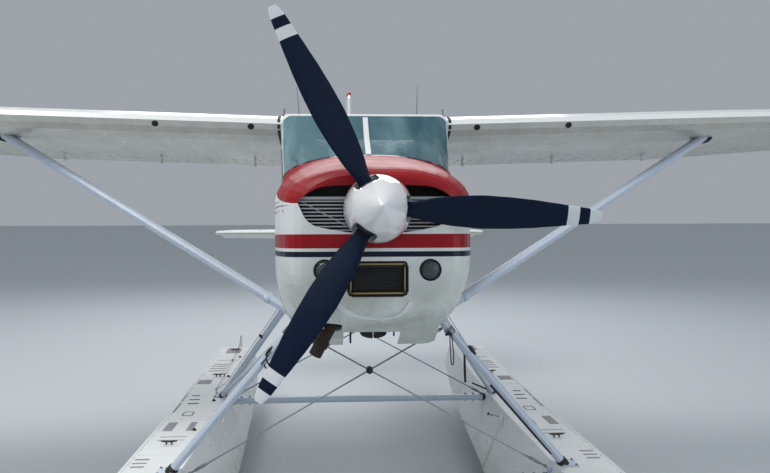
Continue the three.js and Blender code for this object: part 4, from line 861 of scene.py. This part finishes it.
def rounded_loop(corners, grow=0.004, parts=4):
    """Points round a closed outline, with each corner (y, z, radius) rounded, a little outside it."""
    points = []
    for i, (u, v, radius) in enumerate(corners):
        at = Vector((u, v, 0))
        before = Vector((*corners[i - 1][:2], 0)) - at
        after = Vector((*corners[(i + 1) % len(corners)][:2], 0)) - at
        start = at + before.normalized() * min(radius, before.length / 2)
        end = at + after.normalized() * min(radius, after.length / 2)
        for k in range(parts + 1):
            t = k / parts
            points.append(start * (1 - t) ** 2 + at * 2 * t * (1 - t) + end * t ** 2)
    dense = []
    for a, b in zip(points, [*points[1:], points[0]]):
        count = max(1, int((b - a).length / 0.06))
        dense += [a.lerp(b, k / count) for k in range(count)]
    centre = sum(dense, Vector()) / len(dense)
    outside = [p + (p - centre).normalized() * grow for p in dense]
    return [*outside, outside[0]]


# Cabin sides: seals round the doors and windows, door handles and small vents.
# Outline columns: y, z, corner radius
DOOR = ((0.430, -0.490, 0.05), (0.430, 0.178, 0.03), (0.564, 0.485, 0.04), (1.270, 0.485, 0.05),
        (1.270, -0.490, 0.09))
DOOR_WINDOW = ((0.490, 0.160, 0.035), (0.605, 0.445, 0.035), (1.215, 0.445, 0.045), (1.215, 0.160, 0.045))
SIDE_WINDOW = ((1.345, 0.160, 0.045), (1.345, 0.445, 0.045), (1.880, 0.425, 0.06), (2.000, 0.290, 0.06),
               (1.950, 0.160, 0.06))
for name, side in SIDES:
    skin = Skin("cabin_belly", "cabin_roof", *[f"{part}_{name}" for part in (
        "cabin_side", "cabin_door", "door_window", "side_window")])
    for label, corners, body, width, height in (
            ("door_seal", DOOR, "airframe", 0.007, 0.0008),
            ("door_window_rubber", DOOR_WINDOW, f"door_{name}", 0.020, 0.003),
            ("side_window_rubber", SIDE_WINDOW, "airframe", 0.020, 0.003)):
        line = split(skin.flank(side, p.x, p.y) for p in rounded_loop(corners))
        Form(f"{label}_{name}", "black", body=body).ribbon(*line, width, height).done()
    handle = Form(f"door_handle_{name}", "alloy", body=f"door_{name}", sharp=50)
    at, normal = skin.flank(side, 1.185, 0.045)
    handle.box(at + normal * 0.001, (0.006, 0.050, 0.075), bevel=0.002)
    handle.tube([at, at + normal * 0.022, at + normal * 0.026 + Vector((0, -0.03, 0)),
                 at + normal * 0.024 + Vector((0, -0.11, -0.006))], [0.008, 0.008, 0.007, 0.006], 8)
    handle.lathe(at + DOWN * 0.06, normal, [(-0.002, 0.011), (0.003, 0.011), (0.004, 0.004)], 14)
    handle.done()
    vent = Form(f"side_vent_{name}", "black", sharp=50)
    for k in range(4):
        at, _ = COWL.flank(side, -0.16, -0.06 - 0.014 * k)
        vent.tube([at + AHEAD * 0.035, at + AFT * 0.035], 0.0025, 6)
    vent.done()

# The seal at the windshield's foot. Columns: y, z
FOOT_LINE = ((0.300, 0.175), (0.245, 0.2137), (0.190, 0.2524), (0.135, 0.291), (0.090, 0.3228),
             (0.060, 0.344))
left = [FRONT.flank(1, y, z) for y, z in FOOT_LINE]
right = [FRONT.flank(-1, y, z) for y, z in FOOT_LINE[::-1]]
Form("windshield_foot", "black").ribbon(*split([*left, *right]), 0.018, 0.003).done()

# Rivets in rows, small enough to read as texture
RIVET = (0.0055, 0.0018, 5)
wing_rivets = Form("wing_rivets", "wing")
for name, side in SIDES:
    skin = Skin(f"wing_{name}")
    for y in (0.80, 1.02, 1.62):
        for k in range(58):
            for start_z, way in ((FAR_UP, DOWN), (FAR_DOWN, UP)):
                met = skin.at((side * (0.66 + k * 0.078), y, start_z), way)
                if met:
                    wing_rivets.dome(*met, *RIVET)
wing_rivets.done()
# Columns: z at the front end, z at the rear end
LONG_ROWS = ((0.055, 0.060), (-0.300, -0.140), (-0.600, -0.300))
HOOPS_Y = (0.02, 2.16, 2.75, 3.35, 3.95, 4.6)
DOORWAY = (0.36, 1.34)
body_rivets = Form("body_rivets", "body")
SHELL = Skin("cabin_belly", "tail_cone", "boot_cowl", *both("cabin_side", "cabin_door"))
for side in (1, -1):
    places = []
    for z0, z1 in LONG_ROWS:
        row = [(0.05 + k * 0.062, z0 + (z1 - z0) * k / 87) for k in range(88)]
        places += [(y, z) for y, z in row if not DOORWAY[0] < y < DOORWAY[1]]
    for y in HOOPS_Y:
        places += [(y, 0.36 - k * (0.95 - 0.11 * y) / 12) for k in range(13)]
    for y, z in places:
        met = SHELL.flank(side, y, z)
        if met:
            body_rivets.dome(*met, *RIVET)
body_rivets.done()

# Floats: pale and black strips on the decks. Columns: x from, x to, y from, y to
DECK_STRIPS = {
    "pad": (
        (1.390, 1.480, 0.130, 0.160), (1.390, 1.490, 0.215, 0.240), (1.390, 1.490, 0.300, 0.330),
        (1.250, 1.450, 0.800, 0.812), (1.250, 1.450, 0.893, 0.905), (1.395, 1.470, 1.080, 1.350),
        (1.250, 1.300, 1.080, 1.350), (1.490, 1.515, 1.700, 2.040), (1.495, 1.520, 2.100, 2.370),
        (1.360, 1.495, 2.800, 2.985), (1.300, 1.480, 3.400, 3.440), (1.300, 1.480, 3.520, 3.560),
        (1.300, 1.480, 3.640, 3.680), (1.290, 1.470, 3.740, 3.780), (1.220, 1.470, 3.980, 4.000),
        (1.260, 1.430, 4.400, 4.700), (1.300, 1.400, -0.250, -0.220), (1.300, 1.400, -0.400, -0.370),
        (1.290, 1.390, -0.900, -0.700),
    ),
    "black": (
        (1.345, 1.444, 2.005, 2.030), (1.358, 1.454, 2.150, 2.175), (1.380, 1.455, 2.300, 2.325),
    ),
}
# A thin black square on each deck, as x and y
DECK_SQUARE = ((1.334, 1.577), (1.334, 1.704), (1.410, 1.704), (1.410, 1.577), (1.334, 1.577))
# Columns: y, half width of the deck
DECK_EDGE = ((-1.64, 0.115), (-1.42, 0.150), (-1.0, 0.175), (0, 0.190), (1.48, 0.192), (2, 0.191), (3, 0.189),
             (4, 0.185), (4.7, 0.180))
DECK_X = 1.335
CLEATS = ((1.342, 0.69), (1.335, -1.25), (1.335, 3.15), (1.335, 4.55))
# Profiles, as (distance along the axis, radius)
PLUG = ((-0.002, 0.017), (0.004, 0.016), (0.006, 0.010), (0.013, 0.010), (0.017, 0.004))
DECK_BOLT = ((0, 0.008), (0.008, 0.008), (0.010, 0.005))
HATCH = ((-0.002, 0.105), (0.004, 0.103), (0.006, 0.092), (0.010, 0.088), (0.011, 0.010))
SCREW_ROWS_Y = (-1.2, -0.45, 0.42, 1.43, 1.53, 2.62, 3.30, 3.85, 4.25)
# The struts' feet on the decks and their tops at the fuselage
FLOAT_STRUTS = {
    "front": ((1.235, FRONT_STRUT_Y, 0.685), (0.432, 0.031, 1.632)),
    "rear": ((1.205, REAR_STRUT_Y, 0.619), (0.490, 1.534, 1.667)),
}
STRUT_HALF_CHORD, STRUT_HALF_THICK = 0.0475, 0.026
# Columns: distance up the strut, how much larger than the strut
BOOT = ((0.030, 1.05), (0.034, 1.22), (0.052, 1.26), (0.074, 1.22), (0.082, 1.04))


def strut_axes(foot, top):
    """The directions up a strut, aft across it, and through it."""
    along = (top - foot).normalized()
    fore = (AFT - along * along.y).normalized()
    return along, fore, along.cross(fore)


for name, side in SIDES:
    deck = Skin(f"float_{name}", space=FLOOR)
    for finish, rows in DECK_STRIPS.items():
        strips = FloorForm(f"deck_{finish}_{name}", finish)
        for x0, x1, y0, y1 in rows:
            line = split(deck.top(side * (x0 + x1) / 2, y) for y in (y0, (y0 + y1) / 2, y1))
            strips.ribbon(*line, x1 - x0, 0.0018)
        if finish == "black":
            for ends in zip(DECK_SQUARE, DECK_SQUARE[1:]):
                strips.ribbon(*split(deck.top(side * x, y) for x, y in ends), 0.008, 0.002)
        strips.done()
    cleats = FloorForm(f"deck_cleats_{name}", "iron", sharp=50)
    for x, y in CLEATS:
        at, _ = deck.top(side * x, y)
        for dx in (-0.018, 0.018):
            cleats.tube([at + Vector((dx, 0, -0.004)), at + Vector((dx, 0, 0.018))], 0.006)
        horns = [at + Vector((dx, 0, 0.020 + abs(dx) * 0.06)) for dx in (-0.055, -0.03, 0, 0.03, 0.055)]
        cleats.tube(horns, [0.004, 0.007, 0.007, 0.007, 0.004])
    cleats.done()
    plugs = FloorForm(f"pump_plugs_{name}", "black")
    for k in range(6):
        at, normal = deck.top(side * 1.235, -0.95 + 1.02 * k)
        plugs.lathe(at, normal, PLUG, 12)
    plugs.done()
    hatch = FloorForm(f"deck_hatch_{name}", "float", sharp=50)
    at, normal = deck.top(side * DECK_X, -0.62)
    hatch.lathe(at, normal, HATCH, 36)
    hatch.box(at + normal * 0.014, (0.09, 0.014, 0.007), bevel=0.002)
    hatch.done()

    # Rails along the edges, and screws along them, across the deck and down the sides
    rails = FloorForm(f"deck_rails_{name}", "float", sharp=50)
    screws = FloorForm(f"deck_screws_{name}", "steel")
    for edge in (-1, 1):
        hits = []
        for (ya, wa), (yb, wb) in zip(DECK_EDGE, DECK_EDGE[1:]):
            count = max(2, int((yb - ya) / 0.18))
            for share in [k / count for k in range(count)]:
                x = side * DECK_X + edge * (wa + (wb - wa) * share - 0.012)
                hits.append(deck.top(x, ya + (yb - ya) * share))
        points, normals = split(hits)
        rails.ribbon(points, normals, 0.018, 0.004)
        for p, n in zip(points, normals):
            screws.dome(p + Vector((-edge * 0.018, 0, 0)), n, 0.0045, 0.0022, 6)
    for y in SCREW_ROWS_Y:
        half = 0.150 * (0.85 if y < -1 else 1)
        for k in range(13):
            met = deck.top(side * DECK_X + half * (k / 6 - 1), y)
            if met:
                screws.dome(*met, 0.0042, 0.0018, 6)
    for z in (0.46, 0.30):
        for k in range(60):
            for face in (-1, 1):
                met = deck.at((side * DECK_X + face * 0.6, -1.35 + 0.101 * k, z), (-face, 0, 0))
                if met:
                    screws.dome(*met, 0.0045, 0.0016, 6)
    screws.done()
    rails.done()

    # Boots and bolts at the struts' feet
    for label, ends in FLOAT_STRUTS.items():
        foot, top = (mirrored(side, end) for end in ends)
        along, fore, through = strut_axes(foot, top)
        boot = FloorForm(f"strut_boot_{label}_{name}", "black", sharp=50)
        rows = [(foot + along * d, grow) for d, grow in BOOT]
        boot.sleeve(rows, fore * STRUT_HALF_CHORD, through * STRUT_HALF_THICK).done()
        bolts = FloorForm(f"strut_bolts_{label}_{name}", "steel", sharp=50)
        at, _ = deck.top(foot.x, foot.y)
        for dx in (-0.038, 0.038):
            for dy in (-0.055, 0.055):
                bolts.lathe(at + Vector((dx, dy, 0.0082)), UP, DECK_BOLT, 6)
        bolts.done()

# A bent pull handle inside the left float, and a short paddle inside each
HANDLE = arc([(1.145, 2.02, 0.520), (1.096, 1.935, 0.541), (1.112, 1.72, 0.580), (1.119, 1.582, 0.609)], 4)
HANDLE_KNOB = [(-0.004, 0.006), (0.0, 0.013), (0.012, 0.016), (0.022, 0.012), (0.026, 0.005)]
FloorForm("pull_handle", "steel", sharp=50).tube(HANDLE, 0.007, 8).done()
knob = FloorForm("pull_handle_knob", "black", sharp=35)
knob.lathe((1.096, 1.945, 0.539), (0, -1, 0.15), HANDLE_KNOB, 12).done()
PADDLES = (
    ("left", 1, ((1.110, 1.56, 0.628), (1.106, 1.50, 0.624), (1.102, 1.44, 0.600), (1.100, 1.39, 0.552))),
    ("right", -1, ((1.111, 1.70, 0.602), (1.110, 1.67, 0.596), (1.108, 1.62, 0.575), (1.106, 1.59, 0.548))),
)
PADDLE_RADII = [0.006] * 3 + [0.014, 0.020, 0.022, 0.023, 0.022, 0.020, 0.016, 0.011, 0.007, 0.004]
for name, side, spine in PADDLES:
    spine = [mirrored(side, point) for point in spine]
    paddle = FloorForm(f"paddle_{name}", "white", sharp=50)
    paddle.tube(arc(spine, 4), PADDLE_RADII, 10, 0.35)
    paddle.tube([spine[0], (side * 1.150, spine[0].y + 0.02, spine[0].z - 0.01)], 0.006, 6)
    paddle.done()

# Spreader bars: bolts and end rings
BAR_HALF_CHORD, BAR_HALF_THICK = 0.045, 0.027
BARS = ((FRONT_STRUT_Y, front_bar_low.z + BAR_HALF_THICK), (REAR_STRUT_Y, rear_bar_low.z + BAR_HALF_THICK))
# Columns: x, how much larger than the bar
BAR_RING = ((1.100, 1.02), (1.103, 1.16), (1.122, 1.16), (1.126, 1.02))
bar_bolts = FloorForm("bar_bolts", "steel")
bar_rings = FloorForm("bar_rings", "black")
for y, z in BARS:
    for side in (1, -1):
        for x in (0.951, 1.020, 1.084):
            for up in (1, -1):
                bolt = [(0, 0.011), (0.005, 0.011), (0.008, 0.006), (0.012, 0.005)]
                bar_bolts.lathe((side * x, y, z + up * 0.0255), (0, 0, up), bolt, 8)
        rows = [(Vector((side * x, y, z)), grow) for x, grow in BAR_RING]
        bar_rings.sleeve(rows, AFT * BAR_HALF_CHORD, UP * BAR_HALF_THICK)
bar_rings.done()
bar_bolts.done()

# Brace wires: a turnbuckle at each foot, a socket at each top and a knob where they cross. Foot and top
WIRES = (((1.115, 0.020, 0.692), (0.472, 0.0305, 1.586)), ((1.115, 2.300, 0.625), (0.526, 1.572, 1.615)))
TURNBUCKLE = [(0.018, 0.006), (0.022, 0.0105), (0.034, 0.0105), (0.038, 0.0065), (0.060, 0.0060),
              (0.066, 0.0095), (0.078, 0.0105), (0.130, 0.0105), (0.142, 0.0095), (0.148, 0.0060),
              (0.175, 0.0057)]
SOCKET = [(0.030, 0.006), (0.034, 0.010), (0.070, 0.010), (0.076, 0.006)]
KNOB = [(0, 0.008), (0.003, 0.018), (0.010, 0.0212), (0.050, 0.0212), (0.057, 0.018), (0.060, 0.008)]
buckles = FloorForm("wire_turnbuckles", "steel", sharp=50)
knobs = FloorForm("wire_knobs", "black")
for wire_foot, wire_top in WIRES:
    for side in (1, -1):
        foot, top = mirrored(side, wire_foot), mirrored(-side, wire_top)
        buckles.lathe(foot, top - foot, TURNBUCKLE, 10)
        buckles.lathe(top, foot - top, SOCKET, 10)
    crossing = Vector(wire_foot).lerp(mirrored(-1, wire_top), wire_foot[0] / (wire_foot[0] + wire_top[0]))
    knobs.lathe(crossing + AHEAD * 0.030, AFT, KNOB, 20)
knobs.done()
buckles.done()

# On the float struts: small straps, short rods, a long black line of painted shade, caps and the plates at
# their tops
LONG_STRAP = [(0.487, -0.016, 1.545), (0.491, -0.018, 1.450), (0.496, -0.018, 1.372), (0.504, -0.018, 1.354),
              (0.511, -0.018, 1.374), (0.507, -0.018, 1.460), (0.498, -0.016, 1.535)]
SHORT_STRAP = [(-0.617, -0.019, 1.440), (-0.622, -0.034, 1.405), (-0.606, -0.036, 1.372),
               (-0.622, -0.034, 1.352), (-0.636, -0.030, 1.374)]
straps = FloorForm("strut_strap", "black")
straps.tube(arc(LONG_STRAP, 5), 0.0045, 8, 0.6)
straps.tube([(0.462, -0.012, 1.536), (0.480, -0.020, 1.550), (0.497, -0.018, 1.540)], (0.008, 0.013, 0.009))
straps.tube([(0.692, 0.712, 1.280), (0.695, 0.712, 1.180), (0.698, 0.712, 1.085)], (0.007, 0.009, 0.008))
straps.tube(arc(SHORT_STRAP, 5), 0.0048)
straps.done()
# The long black line along the inner side of the left front strut is painted shade in the gap beside the
# strut.
STRUT_SHADE_LINE = [(0.740, 0.000, 1.222), (0.863, -0.006, 1.082), (1.048, -0.015, 0.870), (1.120, -0.012, 0.790)]
lines = FloorForm("strut_lines", "black")
lines.tube(arc(STRUT_SHADE_LINE, 5), 0.006)
lines.tube([(1.128, 2.220, 0.690), (0.995, 2.200, 0.750)], 0.007)
lines.tube([(-0.503, -0.010, 1.545), (-0.560, -0.012, 1.482), (-0.655, -0.018, 1.373)], 0.0045, 6)
lines.done()
CAPS = (
    ((-0.800, 1.812, 1.241), (0.56, 0.60, -0.57)),
    ((0.625, -0.004, 1.440), (0.64, 0, -0.76)),
    ((-0.605, -0.004, 1.450), (-0.64, 0, -0.76)),
)
caps = FloorForm("strut_caps", "black", sharp=50)
for at, along in CAPS:
    at, reach = Vector(at), Vector(along) * 0.035
    caps.tube([at - reach, at, at + reach], [0.008, 0.014, 0.008], 10)
caps.done()
# Columns: share of the way up the strut, how much larger than the strut
ROOT_PLATE = ((0.905, 1.02), (0.908, 1.12), (0.940, 1.12), (0.943, 1.02))
plates = FloorForm("strut_root_plates", "steel", sharp=50)
for side in (1, -1):
    for ends in FLOAT_STRUTS.values():
        foot, top = (mirrored(side, end) for end in ends)
        _, fore, through = strut_axes(foot, top)
        rows = [(foot.lerp(top, share), grow) for share, grow in ROOT_PLATE]
        plates.sleeve(rows, fore * STRUT_HALF_CHORD, through * STRUT_HALF_THICK)
        outer_face = through * 0.029 * (-1 if through.z > 0 else 1)
        for share in (0.915, 0.932):
            plates.dome(foot.lerp(top, share) + outer_face, AHEAD, 0.007, 0.004)
plates.done()

# Cables of the water rudders: from the fuselage to guides along the decks, as far as the sterns
CABLE_GUIDES = ((1.300, 4.60), (1.285, 3.90), (1.275, 3.15), (1.265, 2.48))
cables = FloorForm("rudder_cables", "steel")
for name, side in SIDES:
    deck = Skin(f"float_{name}", space=FLOOR)
    path = []
    for x, y in CABLE_GUIDES:
        at, normal = deck.top(side * x, y)
        eye = at + normal * 0.022
        cables.tube([at - normal * 0.003, at + normal * 0.024], 0.005, 6)
        cables.tube([eye + AHEAD * 0.012, eye + AFT * 0.012], 0.008)
        path.append(eye)
    path.append((side * 1.130, 2.13, 0.80))
    path.append((side * 0.560, 1.515, 1.640))
    cables.tube(path, 0.0025, 6)
cables.done()

# Instrument panel: dials, radios, knobs and pedals. Columns: x, z, radius
DIALS = (
    *[(x, 0.095, 0.040) for x in (0.36, 0.265, 0.17)], *[(x, -0.010, 0.040) for x in (0.36, 0.17)],
    *[(0.445, z, 0.027) for z in (0.045, -0.02)],
    *[(x, 0.100, 0.029) for x in (-0.16, -0.235, -0.31, -0.385)],
    *[(x, 0.028, 0.029) for x in (-0.16, -0.385)],
)
PANEL_Y, MARK_Y = 0.328, 0.3335
dials = Form("panel_dials", "panel", sharp=50)
marks = Form("panel_marks", "white", sharp=50)
for x, z, radius in DIALS:
    rim = radius + 0.006
    dials.lathe((x, PANEL_Y, z), AFT, [(0, rim), (0.007, rim), (0.010, radius), (0.004, radius - 0.002),
                                       (0.004, 0.001)], 24)
    middle = Vector((x, MARK_Y, z))
    for k in range(8):
        way = around(45 * k + 20) * radius
        marks.tube([middle + way * 0.72, middle + way * 0.9], 0.0014, 4)
    needle = middle + AFT * 0.0005
    marks.tube([needle, needle + Vector((0.3, 0, 0.55)) * radius], 0.0014, 4)
for k in range(4):
    z = 0.112 - 0.046 * k
    dials.box((0.0, 0.332, z), (0.165, 0.014, 0.040), bevel=0.002)
    for x in (-0.068, 0.068):
        dials.lathe((x, 0.337, z), AFT, [(0, 0.009), (0.014, 0.008), (0.015, 0.003)], 12)
    marks.box((0, 0.3395, z + 0.004), (0.070, 0.0015, 0.012))
marks.done()
dials.box((0, 0.345, 0.162), (0.98, 0.07, 0.012), bevel=0.005)
dials.done()
controls = Form("engine_controls", "steel", sharp=50)
for x, reach in ((-0.035, 0.085), (0.0, 0.065), (0.035, 0.075)):
    start, end = Vector((x, 0.325, -0.108)), Vector((x, 0.325 + reach, -0.108))
    controls.tube([start, end], 0.004)
    controls.lathe(end, AFT, [(-0.004, 0.008), (0, 0.016), (0.012, 0.017), (0.018, 0.010)], 14)
PEDAL_TURN = Matrix.Rotation(math.radians(20), 4, "X")
for x in (0.35, 0.15, -0.15, -0.35):
    controls.tube([(x, 0.16, -0.30), (x, 0.19, -0.50)], 0.006)
    controls.box((x, 0.20, -0.455), (0.075, 0.012, 0.10), PEDAL_TURN, bevel=0.004)
controls.done()


def cushion(name, centre, size, turn, channels, replaces=()):
    """A stuffed cushion: a rounded, crowned form, pulled in at its sides and at its sewn channels."""
    form = Form(name, "fabric", sharp=80)
    bmesh.ops.create_cube(form.mesh, size=2)
    bmesh.ops.subdivide_edges(form.mesh, edges=form.mesh.edges[:], cuts=27, use_grid_fill=True)
    wide, long, thick = (v / 2 for v in size)
    matrix = Matrix.Translation(centre) @ turn
    for vert in form.mesh.verts:
        u, v, w = vert.co
        round_by = (abs(u) ** 7 + abs(v) ** 7 + abs(w) ** 4) ** (1 / 7)
        u, v, w = u / round_by, v / round_by, w / max(round_by, 1)
        crown = (1 - min(abs(u), 1) ** 2) * (1 - min(abs(v), 1) ** 2)
        u *= 1 - 0.035 * (1 - v * v) * (1 - 0.5 * abs(w))
        v *= 1 - 0.030 * (1 - u * u) * (1 - 0.5 * abs(w))
        groove = max(math.exp(-((v - at) / 0.030) ** 2) for at in channels) * (abs(u) < 0.8)
        edge = math.exp(-((abs(u) - 0.80) / 0.030) ** 2)
        crease = 0.012 * math.sin(9 * u + 5 * v) * math.sin(7 * v - 3 * u)
        w *= 0.74 + 0.24 * crown - 0.16 * max(groove, edge * 0.9) + crease if w > 0 else 0.90
        vert.co = matrix @ Vector((u * wide, v * long, w * thick))
    form.done(replaces)
    ring = []
    for k in range(49):
        angle = 2 * math.pi * k / 48
        u, v = (math.copysign(abs(t) ** 0.34, t) for t in (math.cos(angle), math.sin(angle)))
        ring.append(matrix @ Vector((u * wide * 0.955, v * long * 0.955, 0.50 * thick)))
    Form(f"{name}_piping", "black", "seat_fabric").tube(ring, 0.0038, 8).done()


# Seats on their frames. Columns: node, middle x, width, middle y of the base and the back, length of the base
SEATS = (
    ("front_seat_left", 0.245, 0.43, 0.96, 1.17, 0.40),
    ("front_seat_right", -0.245, 0.43, 0.96, 1.17, 0.40),
    ("rear_seat", 0.0, 0.90, 1.74, 1.93, 0.36),
)
BASE_CHANNELS, BACK_CHANNELS = (-0.33, 0.0, 0.33), (-0.5, -0.17, 0.17, 0.5)
BACK_TURN = Matrix.Rotation(math.radians(103.5 - 180), 4, "X") @ Matrix.Rotation(math.pi, 4, "Y")
frames = Form("seat_frames", "steel", sharp=50)
for name, x, wide, base_y, back_y, long in SEATS:
    base_size, back_size = (wide - 0.01, long - 0.01, 0.098), (wide - 0.01, 0.575, 0.088)
    cushion(f"{name}_base", (x, base_y, -0.284), base_size, Matrix(), BASE_CHANNELS, replaces=[name])
    cushion(f"{name}_back", (x, back_y + 0.050, 0.022), back_size, BACK_TURN, BACK_CHANNELS)
    frames.box((x, base_y, -0.342), (wide - 0.05, long - 0.05, 0.014), bevel=0.004)
    for side in (1, -1):
        leg_x = x + side * (wide / 2 - 0.065)
        foot_x = leg_x + side * 0.012
        for y in (base_y - 0.13, base_y + 0.13):
            frames.tube([(leg_x, y, -0.348), (foot_x, y, -0.552)], 0.010)
        frames.box((foot_x, base_y, -0.5505), (0.026, long - 0.06, 0.008), bevel=0.002)
frames.done()

# The floor of the studio
bpy.ops.mesh.primitive_plane_add(size=120, location=(0, 10, 0))
ground = bpy.context.object
ground.name = "ground"
ground.data.materials.append(Shader("floor", (0.56, 0.60, 0.63), Roughness=0.75).material)
